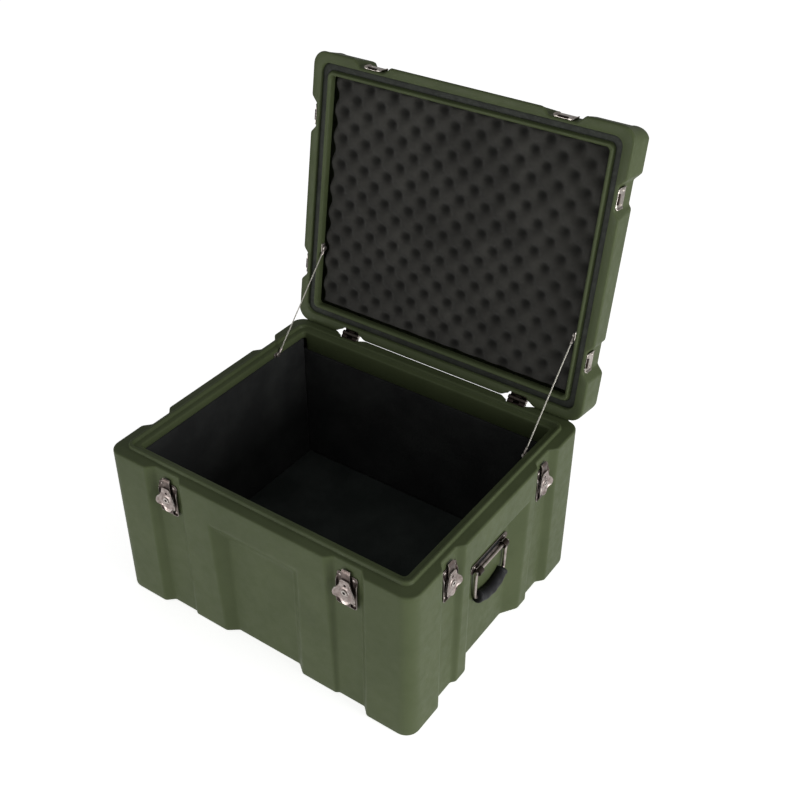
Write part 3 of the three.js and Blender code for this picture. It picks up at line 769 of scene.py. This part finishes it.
def base_relief(z):
    share = z / BASE_HEIGHT
    return columns.relief(
        lambda form, wall: (0.0, form["base_lean"] + (form["at_rim"] - form["base_lean"]) * share),
        lambda form, wall: form["depth"],
        lambda form: form["recess_depth"] / RECESS_SLOPE * (RECESS_TOP - z),
    )


def lid_relief(z):
    height = z - LID_RIM
    share = height / LID_HEIGHT
    above = max(0.0, (height - FRONT_SLOPE["channel_start"]) / (LID_HEIGHT - FRONT_SLOPE["channel_start"]))

    def plane(form, wall):
        post, panel = (FRONT_SLOPE["post"], FRONT_SLOPE["panel"]) if wall == 0 else (0.0, form["lid_lean"])
        return post * share, form["at_rim"] + (panel - form["at_rim"]) * share

    def depth(form, wall):
        return form["depth"] + (FRONT_SLOPE["channel"] - form["depth"]) * (above if wall == 0 else 0.0)

    return columns.relief(plane, depth, lambda form: None)


def flat_fill(ring, spacing=28.0):
    """A flat mesh inside a ring at one height: its points, the ring's own first, and its triangles."""
    outline = ring[:, :2]
    low, high = outline.min(0), outline.max(0)
    grid = np.array([(x, y) for x in np.arange(low[0] + 9, high[0], spacing)
                     for y in np.arange(low[1] + 9, high[1], spacing)])
    grid = grid[inside(grid, outline) & (clearance(grid, outline) > 6)]
    points = np.concatenate([outline, grid])
    count = len(outline)
    edges = [(k, (k + 1) % count) for k in range(count)]
    flat, _, triangles = delaunay_2d_cdt([Vector(p) for p in points], edges, [], 1, 1e-4)[:3]
    assert len(flat) == len(points)
    return np.column_stack([points, np.full(len(points), ring[0][2])]), triangles


def stacked(rings, flip):
    """A closed shape from rings, with its first and last ring filled flat."""
    count = columns.count
    points, faces = np.concatenate(rings), bands(len(rings), count)
    for ring, start, upwards in ((rings[0], 0, False), (rings[-1], (len(rings) - 1) * count, True)):
        filled, triangles = flat_fill(ring)
        number = [*range(start, start + count), *range(len(points), len(points) + len(filled) - count)]
        points = np.concatenate([points, filled[count:]])
        for triangle in triangles:
            face = tuple(number[index] for index in triangle)
            faces.append(face if upwards else tuple(reversed(face)))
    return points, turned_over(faces) if flip else faces


def rounded_edge(relief, level, inward, radius, steps=5):
    """Rings round an outer edge at height level. inward is 1 where the wall lies above it and -1 below."""
    return [
        columns.ring(relief + radius * (1 - math.cos(a)), level + inward * radius * (1 - math.sin(a)))
        for a in np.linspace(math.pi / 2, 0, steps + 1)
    ]


def rim_radius(relief):
    """The edge radius at the rim, less where a channel comes close to the seal and small along the hinges."""
    radius = np.clip(GROOVE["inset"] - 1.0 - relief, 1.0, RIM_EDGE_RADIUS)
    return np.where(columns.wall == 2, REAR_RIM_RADIUS, radius)


def lip_profile(width, height, start, steps):
    """A quarter round from the rim's face into the opening."""
    angles = np.linspace(start, math.pi / 2, steps)
    return [(-width * (1 - math.sin(a)), height * (1 - math.cos(a))) for a in angles]


def heights(start, end, fine=()):
    """Heights from start to end, close together inside the fine spans."""
    marks = sorted({start, end, *[z for span in fine for z in span]})
    places = [start]
    for low, high in zip(marks, marks[1:]):
        step = FINE_STEP if any(a <= low and high <= b for a, b in fine) else COARSE_STEP
        places += list(np.linspace(low, high, max(1, math.ceil((high - low) / step)) + 1)[1:])
    return places


def base_shell():
    h = BASE_HEIGHT
    rings = rounded_edge(base_relief(0), 0, 1, EDGE_RADIUS)
    walls = heights(EDGE_RADIUS, h - EDGE_RADIUS, [(RECESS_TOP - RECESS_SLOPE - 8, RECESS_TOP + 8)])[1:-1]
    rings += columns.rings([(base_relief(z), z) for z in walls])
    at_rim = base_relief(h)
    rings += reversed(rounded_edge(at_rim, h, -1, rim_radius(at_rim)))
    inset, width, high = RIDGE["inset"], RIDGE["width"], RIDGE["height"]
    flank = [(-1.4, 0), (-0.5, 0.25), (0, 1.1), (0.3, high - 1.8), (0.8, high - 0.7), (1.9, high)]
    rings += columns.rings(flank, inset, h)
    rings += columns.rings([(width - d, z) for d, z in reversed(flank)], inset, h)
    rings += columns.rings(lip_profile(3.2, -3.2, 0, 5), OPENING_INSET, h)
    rear = (columns.wall == 2) & columns.straight
    under = np.where(rear, h - REAR_APRON_HEIGHT, h - BASE_RIM_THICKNESS)
    inner_rim = h - BASE_RIM_THICKNESS
    below = [(0, h - 8), (0, under + 1.5), (-1.5, under), (-4.5, under), (-5, inner_rim + 0.5)]
    rings += columns.rings(below, OPENING_INSET)
    rings += columns.rings([(base_relief(z) + WALL, z) for z in (inner_rim, *INNER_LEVELS, WALL)])
    piece("case_base", stacked(rings, False), OLIVE, "base", "base_shell", sharp=0)


def lid_shell():
    r = LID_RIM
    rings = rounded_edge(lid_relief(LID_TOP), LID_TOP, -1, EDGE_RADIUS)
    ends = r + EDGE_RADIUS, LID_TOP - EDGE_RADIUS
    rings += columns.rings([(lid_relief(z), z) for z in heights(*ends, [ends])[-2:0:-1]])
    at_rim = lid_relief(r)
    rings += reversed(rounded_edge(at_rim, r, 1, rim_radius(at_rim)))
    inset, width, deep = GROOVE["inset"], GROOVE["width"], GROOVE["depth"]
    flank = [(-0.6, 0), (0, 0.5), (0.15, deep - 0.8), (0.8, deep)]
    rings += columns.rings(flank, inset, r)
    slant = [(-0.8, deep), (-0.2, deep - 0.8), (1.2, 2.4), (1.9, 0.9), (2.9, 0.1)]
    rings += columns.rings(slant, inset + width, r)
    rings += columns.rings(lip_profile(4.4, 5.72, 0.15, 6), OPENING_INSET, r)
    rings += columns.rings([(0, LID_RIM_THICKNESS - 1.5), (-1.5, LID_RIM_THICKNESS)], OPENING_INSET, r)
    inner = (r + LID_RIM_THICKNESS, *(r + z for z in LID_INNER_LEVELS), LID_TOP - WALL)
    rings += columns.rings([(lid_relief(z) + WALL, z) for z in inner])
    points, faces = stacked(rings, True)
    piece("case_lid", (opened(points), faces), OLIVE, "lid", "lid_shell", sharp=0)


def gasket():
    """The rubber seal in the lid's groove: a band with a crowned face."""
    low = LID_RIM + GROOVE["depth"] - GAP - 1.6
    top = LID_RIM + GROOVE["depth"] - GAP
    inset, width = GROOVE["inset"] + GAP, GROOVE["width"] - 2 * GAP
    profile = [(0, top), (0.1, low + 1.1)]
    profile += [(x * width, low + 0.9 * (2 * x - 1) ** 4) for x in np.linspace(0.03, 0.97, 9)]
    profile += [(width - 0.1, low + 1.1), (width, top)]
    rings = columns.rings(profile, inset)
    shape = opened(np.concatenate(rings)), turned_over(bands(len(rings), columns.count, closed=True))
    piece("lid_seal", shape, SEAL, "lid", "gasket", sharp=50)


# ---------------------------------------------------------------- foam

def wander(x, y, z, scale, seed):
    """Smooth noise from about -1 to 1 at a point in millimetres."""
    return noise.noise(Vector((x / scale + seed, y / scale, z / scale)))


def pad(low, high, step, edge, name, material, seed, node):
    """A foam panel between two corners: a fine box with soft edges and faces that wander a little."""
    low, high = np.asarray(low, float), np.asarray(high, float)
    size = high - low
    counts = np.maximum(2, np.ceil(size / step).astype(int))
    index, points = {}, []
    thin = int(np.argmin(size))

    def vertex(key):
        if key not in index:
            index[key] = len(points)
            at = low + size * np.array(key) / counts
            core = np.clip(at, low + edge, high - edge)
            out = at - core
            reach = np.abs(out).max()
            if reach > 1e-9:
                at = core + out / np.linalg.norm(out) * min(edge, reach)
            at[thin] += 0.55 * wander(*at, 34, seed)
            points.append(np.clip(at, low + 0.05, high - 0.05))
        return index[key]

    faces = []
    for axis in range(3):
        u, v = (axis + 1) % 3, (axis + 2) % 3
        for side in (0, counts[axis]):
            for i in range(counts[u]):
                for j in range(counts[v]):
                    corners = []
                    for a, b in ((i, j), (i + 1, j), (i + 1, j + 1), (i, j + 1)):
                        key = [0, 0, 0]
                        key[axis], key[u], key[v] = int(side), a, b
                        corners.append(vertex(tuple(key)))
                    faces.append(tuple(corners) if side else tuple(reversed(corners)))
    obj = piece(name, (np.array(points), faces), material, "base", node, sharp=0)


LINING_STEP = 5.0
LINING_EDGE = 2.6


def lining():
    for seed, side in enumerate(("floor", "front", "rear", "left", "right")):
        node = f"lining_{side}"
        material = FLOOR_LINING if side == "floor" else LINING
        pad(*box_mm(node), LINING_STEP, LINING_EDGE, f"foam_{side}", material, 7.3 * seed, node)


PIT_PITCH = (49.6, 46.8)
PIT_START = (33.0, 58.0)
FOAM_PEAK = 13.5
FOAM_VALLEY = 26.5
FOAM_EDGE = 3.0
FOAM_OVERHANG = 15.5
FOAM_HALF_Y = 209.5


def lid_foam():
    """Egg-crate foam: rounded peaks, with pits in a staggered lattice between them."""
    half_x = box_mm("lid_foam")[1][0] + FOAM_OVERHANG
    back = LID_TOP - WALL - GAP
    front_peak = LID_RIM + FOAM_PEAK
    step = 2.9
    nx, ny = round(2 * half_x / step), round(2 * FOAM_HALF_Y / step)
    xs, ys = np.linspace(-half_x, half_x, nx + 1), np.linspace(-FOAM_HALF_Y, FOAM_HALF_Y, ny + 1)
    points, pit_shade = [], []
    for y in ys:
        for x in xs:
            wobble_x = x + 1.6 * wander(x, y, 0, 60, 3.0)
            wobble_y = y + 1.6 * wander(x, y, 40, 60, 9.0)
            wave = math.cos(2 * math.pi * (wobble_x - PIT_START[0]) / PIT_PITCH[0])
            wave *= math.cos(2 * math.pi * (wobble_y - PIT_START[1]) / PIT_PITCH[1])
            sunk = ((1 + wave) / 2) ** 1.5
            depth = sunk * (FOAM_VALLEY - FOAM_PEAK) + 0.8 * wander(x, y, 80, 30, 5.0)
            border = min(half_x - abs(x), FOAM_HALF_Y - abs(y))
            if border < FOAM_EDGE:
                depth += FOAM_EDGE - math.sqrt(max(0.0, FOAM_EDGE ** 2 - (FOAM_EDGE - border) ** 2))
            points.append((x, y, front_peak + depth))
            # painted shade: how much each point is darkened, most down in the pits
            pit_shade.append(ramp(sunk, 0.35, 1) ** 1.5)
    width = nx + 1
    faces = [
        (j * width + i, (j + 1) * width + i, (j + 1) * width + i + 1, j * width + i + 1)
        for j in range(ny) for i in range(nx)
    ]
    border = (
        [(i, 0) for i in range(nx)] + [(nx, j) for j in range(ny)]
        + [(i, ny) for i in range(nx, 0, -1)] + [(0, j) for j in range(ny, 0, -1)]
    )
    rim = [j * width + i for i, j in border]
    for share in (0.3, 0.65, 1.0):
        start = len(points)
        for i, j in border:
            x, y, z = points[j * width + i]
            points.append((x, y, z + (back - z) * share))
            # painted shade on the pad's sides and back
            pit_shade.append(0.55)
        count = len(border)
        for k in range(count):
            after = (k + 1) % count
            faces.append((rim[k], rim[after], start + after, start + k))
        rim = list(range(start, start + count))
    faces.append(tuple(rim))
    obj = piece("lid_egg_foam", (opened(points), faces), LID_FOAM, "lid", "lid_foam", sharp=60)
    attribute = obj.data.attributes.new("pit_shade", "FLOAT", "POINT")
    attribute.data.foreach_set("value", np.array(pit_shade, np.float32))


# ---------------------------------------------------------------- hardware frames
#
# Fittings are shaped with X along a wall, Y out of it and Z up, and then put in place.

def wall_frame(origin, outward):
    """A matrix from a fitting's own frame, for a fitting at a point on a wall that faces outward."""
    y = Vector(outward).normalized()
    z = Vector((0, 0, 1))
    x = y.cross(z)
    turn = Matrix((x, y, z)).transposed().to_4x4()
    return Matrix.Translation(Vector(origin)) @ turn


TO_HINGE = Matrix.Translation(Vector(hinge_point))
LID_TURN = Matrix.Rotation(-OPEN_ANGLE, 4, "X")
OPENING_TURN = TO_HINGE @ LID_TURN @ Matrix.Translation(-Vector(hinge_point))
LATCHES = [name.removeprefix("wing_turn_") for name in joints if name.startswith("wing_turn_")]


def latch_frame(name):
    joint = joints[f"wing_turn_{name}"]
    return wall_frame(np.array(joint["pos_m"]) / MM, joint["axis"])


# ---------------------------------------------------------------- latches

LATCH_HALF_WIDTH = 19.0
LATCH_BOTTOM, LATCH_TOP = -30.0, 30.5
SHEET = 1.6


def latch_plate():
    """The fixed plate: a shallow tray, open at the top where the hook comes out."""
    outline = rounded(-LATCH_HALF_WIDTH, LATCH_HALF_WIDTH, LATCH_BOTTOM, LATCH_TOP, 5)

    def height(x, z, edge):
        lip = 4.2 * ramp(edge, 2.8, 0) ** 1.5 * ramp(z, 24, 14)
        rib = 0.7 * bulge(np.abs(x), 10.5, 1.3) * (np.abs(z) < 27)
        return GAP + SHEET / 2 + lip + rib
    return stamped(outline, SHEET, height, step=1.5)


def latch_fixings():
    """Four rivets and the spindle that carries the wing."""
    face = GAP + SHEET
    heads = [rivet(x, z, face) for x in (-12.5, 12.5) for z in (-24.8, 25.0)]
    spindle = lathe([
        (0, face - 0.5), (7, face - 0.5), (7, 3.8), (6.7, 4.2), (3, 4.2), (3, 9.2), (5, 9.2), (5.3, 9.5),
        (5.3, 10.6), (4.9, 11.1), (2.6, 11.1), (2.4, 10.9), (2.4, 9.6), (0, 9.4),
    ], 28)
    return merged(*heads, spindle)


def latch_hook():
    """The slotted strap that the wing raises, with its claw bent in over the keeper."""
    outline = rounded(-8, 8, -28.5, 39.5, 1.6, 3)
    slot = rounded(-3.6, 3.6, -25.6, 3.6, 3.5, 6)

    def height(x, z, edge):
        return 5.4 - 2.6 * ramp(z, 33.5, 39.5) ** 1.6
    return stamped(outline, SHEET, height, [slot], step=1.5)


def latch_wing():
    """The wing that a hand turns: ears curled outwards, a broad top and a pointed tip."""
    right = [(0.0, -23.0), (2.4, -22.8)]
    right += bezier((2.4, -22.8), (5.8, -21.8), (8.0, -18.6), 4)
    right += bezier((8.0, -18.6), (9.8, -15.6), (13, -14.8), 4)
    right += bezier((13, -14.8), (20.2, -13.2), (20.4, -5.8), 6)
    right += bezier((20.4, -5.8), (20.4, 0.2), (16.5, 4.2), 5)
    right += bezier((16.5, 4.2), (11.4, 9.0), (9.8, 14.4), 5)
    right += bezier((9.0, 18.0), (8.6, 23.0), (4.2, 23.2), 4)
    left = [(-x, z) for x, z in reversed(right[1:])]
    outline = right + left

    def height(x, z, edge):
        reach = np.hypot(x, z)
        ear = 4.2 * ramp(np.abs(x), 9.5, 20) ** 1.6
        tip = 2.0 * ramp(z, -15, -23) ** 1.6
        boss = 0.9 * bulge(reach, 6.6, 1.3)
        dish = -0.6 * ramp(edge, 2, 3) * ramp(reach, 8, 9.2)
        rim = 0.7 * ramp(edge, 1.8, 0) * (np.abs(x) > 9)
        return 7.9 + ear + tip + boss + dish + rim
    return stamped(outline, 1.7, height, [circle(0, 0, 3.5), circle(0, 12.5, 2.4, 20)], step=1.25)


def keeper():
    """The plate on the lid that the hook catches: lips down its sides and a curled ledge."""
    outline = rounded(-18, 18, 1.5, 25.0, 4)

    def height(x, z, edge):
        return GAP + SHEET / 2 + 3.0 * ramp(np.abs(x), 15.4, 18) ** 1.4
    plate = stamped(outline, SHEET, height, step=1.5)
    ledge = strap([(1.0, 1.9), (2.1, 2.0), (3.0, 2.4), (3.45, 3.2), (3.5, 4.2)], 0.75, -9, 9)
    heads = [rivet(x, 17.0, GAP + SHEET, 2.4, 1.2) for x in (-11.5, 11.5)]
    return merged(plate, ledge, *heads)


def latches():
    for name in LATCHES:
        at = latch_frame(name)
        # the tray and the strap take the darker copy of the steel: painted shade
        piece(f"latch_tray_{name}", moved(latch_plate(), at), SHADED_STEEL, "base",
              f"latch_plate_{name}", bevel=0.3)
        piece(f"latch_fixings_{name}", moved(latch_fixings(), at), STEEL, "base", sharp=35)
        piece(f"latch_strap_{name}", moved(latch_hook(), at), SHADED_STEEL, f"hook_{name}",
              f"latch_hook_{name}", bevel=0.3)
        piece(f"latch_turn_{name}", moved(latch_wing(), at), STEEL, f"wing_{name}",
              f"latch_wing_{name}", bevel=0.35)
        lid_at = OPENING_TURN @ Matrix.Translation((0, 0, LID_RIM - at.translation.z)) @ at
        piece(f"latch_keeper_{name}", moved(keeper(), lid_at), BRIGHT_STEEL, "lid",
              f"keeper_{name}", bevel=0.3)


# ---------------------------------------------------------------- handles

def grip_path(samples, spread=40.0):
    """The middle of the grip in the bail's frame: bowed outwards and down."""
    x = np.linspace(-spread, spread, samples)
    bow = 1 - (x / 40.0) ** 2
    return np.stack([x, -0.5 + 2.5 * bow, -57 - 10.3 * bow], 1)


HANDLE_SLOT = (-34, 34, 3.4, 12.2)


def handle_bracket():
    """The slotted plate on the recess floor, with two straps rolled round the bail."""
    face = -7 + GAP
    taper = [(-56, 3), (-51, -3), (51, -3), (56, 3), (56, 8), (50, 14.4), (-50, 14.4), (-56, 8)]
    slot = rounded(*HANDLE_SLOT, 3.2, 5)
    outline = []
    corners = np.array(taper, float)
    for before, here, after in zip(np.roll(corners, 1, 0), corners, np.roll(corners, -1, 0)):
        start = here + (before - here) / np.linalg.norm(before - here) * 2.2
        end = here + (after - here) / np.linalg.norm(after - here) * 2.2
        outline += [tuple(start)] + bezier(start, here, end, 4)

    def height(x, z, edge):
        return face + 0.8 + 0.7 * ramp(edge, 2.4, 0) ** 1.5
    plate = stamped(outline, 1.6, height, [slot], step=1.7)
    straps = []
    for x in (-38.5, 38.5):
        turn = arc((0, 0), 6.1, 105, -200, 25)
        straps.append(strap([(face + 2.4, 6.5), (face + 4.8, 6.3), *turn], 0.9, x - 5.5, x + 5.5))
    heads = [rivet(x, 9.0, face + 1.6, 2.8, 1.8) for x in (-45.0, 45.0)]
    return merged(plate, *straps, *heads)


def slot_shade_sheet():
    """A thin dark rubber sheet behind the plate's slot: painted shade, standing for the shadow seen through
    the slot.
    """
    x0, x1, z0, z1 = HANDLE_SLOT
    outline = rounded(x0 + 0.15, x1 - 0.15, z0 + 0.15, z1 - 0.15, 3.0)
    return stamped(outline, 0.6, flat_at(GAP - 6.7), step=3.0)


def handle_bail():
    """The wire loop: a rod through the straps, two arms and the run inside the grip."""
    grip = grip_path(15, 42.0)
    arm = [(45.6, 0, 0), (45.8, -0.5, -12), (45.6, -1, -30), (45.2, -1.2, -43), (44, -1, -52)]
    loop = [(-x, y, z) for x, y, z in arm] + [tuple(p) for p in grip] + list(reversed(arm))
    loop = np.array(loop)
    dense = []
    for i in range(len(loop) - 1):
        before, here = loop[max(i - 1, 0)], loop[i]
        there, after = loop[i + 1], loop[min(i + 2, len(loop) - 1)]
        for t in np.linspace(0, 1, 4, endpoint=False):
            bent = (2 * before - 5 * here + 4 * there - after) * t * t
            dense.append(0.5 * (2 * here + (there - before) * t + bent
                                + (3 * here - before - 3 * there + after) * t ** 3))
    dense.append(loop[-1])
    rod = np.linspace((-48.5, 0, 0), (48.5, 0, 0), 24)
    return merged(tube(dense, 2.9, 14), tube(rod, 3.0, 14))


def handle_grip():
    """The moulded grip: collars at its ends and shallow finger waves between them."""
    path = grip_path(61)
    x = np.abs(path[:, 0])
    radius = 10.2 + 0.35 * np.cos(x * 2 * math.pi / 19)
    collar = ramp(x, 34.5, 35.7)
    radius = radius * (1 - collar) + 10.6 * collar
    radius -= 0.9 * bulge(x, 33.0, 0.9)
    radius *= 0.72 + 0.28 * np.sqrt(1 - ramp(x, 37, 40) ** 2)
    return tube(path, radius, 28)


def handles():
    for side in ("right", "left"):
        joint = joints[f"handle_swing_{side}"]
        place = np.array(joint["pos_m"]) / MM
        at = wall_frame(place, (math.copysign(1, place[0]), 0, 0))
        # the plate takes the darker copy of the steel: painted shade
        piece(f"handle_plate_{side}", moved(handle_bracket(), at), SHADED_STEEL, "base",
              f"handle_bracket_{side}", sharp=38, bevel=0.25)
        # painted shade: the dark sheet that fills the bracket's slot
        piece(f"slot_shade_sheet_{side}", moved(slot_shade_sheet(), at), RUBBER, "base", sharp=60)
        body = f"handle_{side}"
        piece(f"handle_wire_{side}", moved(handle_bail(), at), STEEL, body,
              f"handle_bail_{side}", sharp=60)
        piece(f"handle_hold_{side}", moved(handle_grip(), at), RUBBER, body,
              f"handle_grip_{side}", sharp=60)


# ---------------------------------------------------------------- hinges

KNUCKLE = 4.6


def hinge_leaf(upwards, knuckles):
    """One leaf about the pin: a riveted plate, a web that runs to the pin and the knuckles round it."""
    sign = 1 if upwards else -1
    floor = -11.0 + GAP
    outline = rounded(-17, 17, 10, 51, 4)
    plate = stamped(outline, 2.0, flat_at(floor + 1.0), step=2.0)
    slope = [(floor + 1, 14), (floor + 1.3, 11), (-7, 8), (-4.4, 6.5), (-1.6, 6.3), (0.8, 6.1)]
    webs = [strap(slope, 0.85, -17, 17)]
    turn = arc((0, 0), KNUCKLE - 1.0, 150, -175, 27)
    for x0, x1 in knuckles:
        webs.append(strap([(-7.4, 6.2), (-6.2, 4.4), (-5.0, 3.0), *turn], 0.95, x0, x1))
    heads = [rivet(x, z, floor + 2.0) for x in (-10.0, 10.0) for z in (25.0, 41.0)]
    shape = merged(plate, *webs, *heads)
    return moved(shape, Matrix.Diagonal((1, 1, sign, 1)))


def hinges():
    outer = [(-17.0, -6.0), (6.0, 17.0)]
    middle = [(-5.6, 5.6)]
    for side in ("left", "right"):
        low, high = box_mm(f"hinge_pin_{side}")
        at = wall_frame(((low[0] + high[0]) / 2, hinge_point[1], hinge_point[2]), (0, 1, 0))
        piece(f"hinge_lower_{side}", moved(hinge_leaf(False, outer), at), STEEL, "base",
              f"hinge_base_leaf_{side}", bevel=0.25)
        piece(f"hinge_upper_{side}", moved(hinge_leaf(True, middle), OPENING_TURN @ at), STEEL, "lid",
              f"hinge_lid_leaf_{side}", bevel=0.25)
        head = [(0, 18.2), (2.6, 18.2), (3.0, 17.8), (3.0, 17.2), (2.0, 17.1)]
        pin = lathe([(radius, -height) for radius, height in head] + head[::-1], 18)
        lying = Matrix.Rotation(math.pi / 2, 4, "Z")
        piece(f"hinge_rod_{side}", moved(pin, at @ lying), STEEL, "base",
              f"hinge_pin_{side}", sharp=35)


# ---------------------------------------------------------------- lid stays

STRAND = 0.62
EYE_REACH = 3.5


def stay_rope(start, end):
    """Three strands laid round the line from start to end."""
    line = end - start
    length = np.linalg.norm(line)
    run = line / length
    side = np.cross(run, (1, 0, 0))
    side /= np.linalg.norm(side)
    other = np.cross(run, side)
    turns = length / 7.5
    t = np.linspace(0, 1, int(turns * 9))
    strands = []
    for k in range(3):
        angle = 2 * math.pi * (turns * t + k / 3)
        round_it = np.outer(np.cos(angle), side) + np.outer(np.sin(angle), other)
        strands.append(tube(start + np.outer(t, line) + STRAND * round_it, STRAND, 6))
    return merged(*strands)


def stay_end(eye, towards):
    """A crimped sleeve and the wire's loop round the anchor's stud."""
    run = towards / np.linalg.norm(towards)
    sleeve_path = eye + np.outer([4.2, 5.0, 8.0, 11.0, 14.0, 14.8], run)
    sleeve = tube(sleeve_path, [1.7, 2.3, 2.3, 2.1, 2.3, 1.6], 16)
    around = np.cross(run, (1, 0, 0))
    angles = np.linspace(0, 2 * math.pi, 28, endpoint=False)
    loop = eye + 4.1 * (np.outer(np.cos(angles), run) + np.outer(np.sin(angles), around))
    return merged(sleeve, tube(loop, 0.85, 8, closed=True))


def anchor(wall):
    """A riveted tab on the rim's inner face, with a stud for the stay's loop.

    The middle of the stud's end is at the origin, and X points at the face, which is at X = wall."""
    plate = stamped(rounded(-9, 9, -4.5, 4.5, 2.2, 4), 1.5, flat_at(0), step=1.5)
    stand = Matrix(((0, 1, 0, wall - 0.75), (-1, 0, 0, 0), (0, 0, 1, 0), (0, 0, 0, 1)))
    stud = lathe([
        (0, 1.0 - wall), (2.9, 1.0 - wall), (2.9, -1.4), (3.3, -1.2), (4.6, -1.1), (4.6, 1.2), (4.2, 1.9),
        (1.4, 2.2), (1.2, 1.6), (0, 1.6),
    ], 20)
    facing_in = Matrix(((0, -1, 0, 0), (1, 0, 0, 0), (0, 0, 1, 0), (0, 0, 0, 1)))
    on_plate = Matrix.Translation((wall - 0.75, 0, 0)) @ facing_in
    heads = [moved(rivet(x, 0, 0.75, 1.7, 0.8), on_plate) for x in (-6.3, 6.3)]
    return merged(moved(plate, stand), moved(stud, facing_in), *heads)


def stays():
    for side, sign in (("left", -1), ("right", 1)):
        low, high = box_mm(f"lid_stay_{side}")
        x = (low[0] + high[0]) / 2
        start, end = np.array([x, low[1], low[2]]), np.array([x, high[1], high[2]])
        along = (end - start) / np.linalg.norm(end - start)
        rope = piece(f"stay_rope_{side}", stay_rope(start, end), STAY_WIRE, "base",
                     f"lid_stay_{side}", sharp=0)
        rope.parent = None
        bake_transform(rope)
        base_eye, lid_eye = start - along * EYE_REACH, end + along * EYE_REACH
        piece(f"stay_sleeve_low_{side}", stay_end(base_eye, along), STEEL, "base", sharp=50)
        piece(f"stay_sleeve_high_{side}", stay_end(lid_eye, -along), STEEL, "lid", sharp=50)
        tab = moved(anchor(OPENING_X - abs(x) - GAP), Matrix.Diagonal((sign, 1, 1, 1)))
        for body, eye, turn in (("base", base_eye, Matrix.Identity(4)), ("lid", lid_eye, LID_TURN)):
            piece(f"stay_tab_{body}_{side}", moved(tab, Matrix.Translation(Vector(eye)) @ turn),
                  STEEL, body, f"stay_anchor_{body}_{side}", sharp=38)


# ---------------------------------------------------------------- the case

make_camera()
make_studio()
base_shell()
lid_shell()
gasket()
lining()
lid_foam()
latches()
handles()
hinges()
stays()
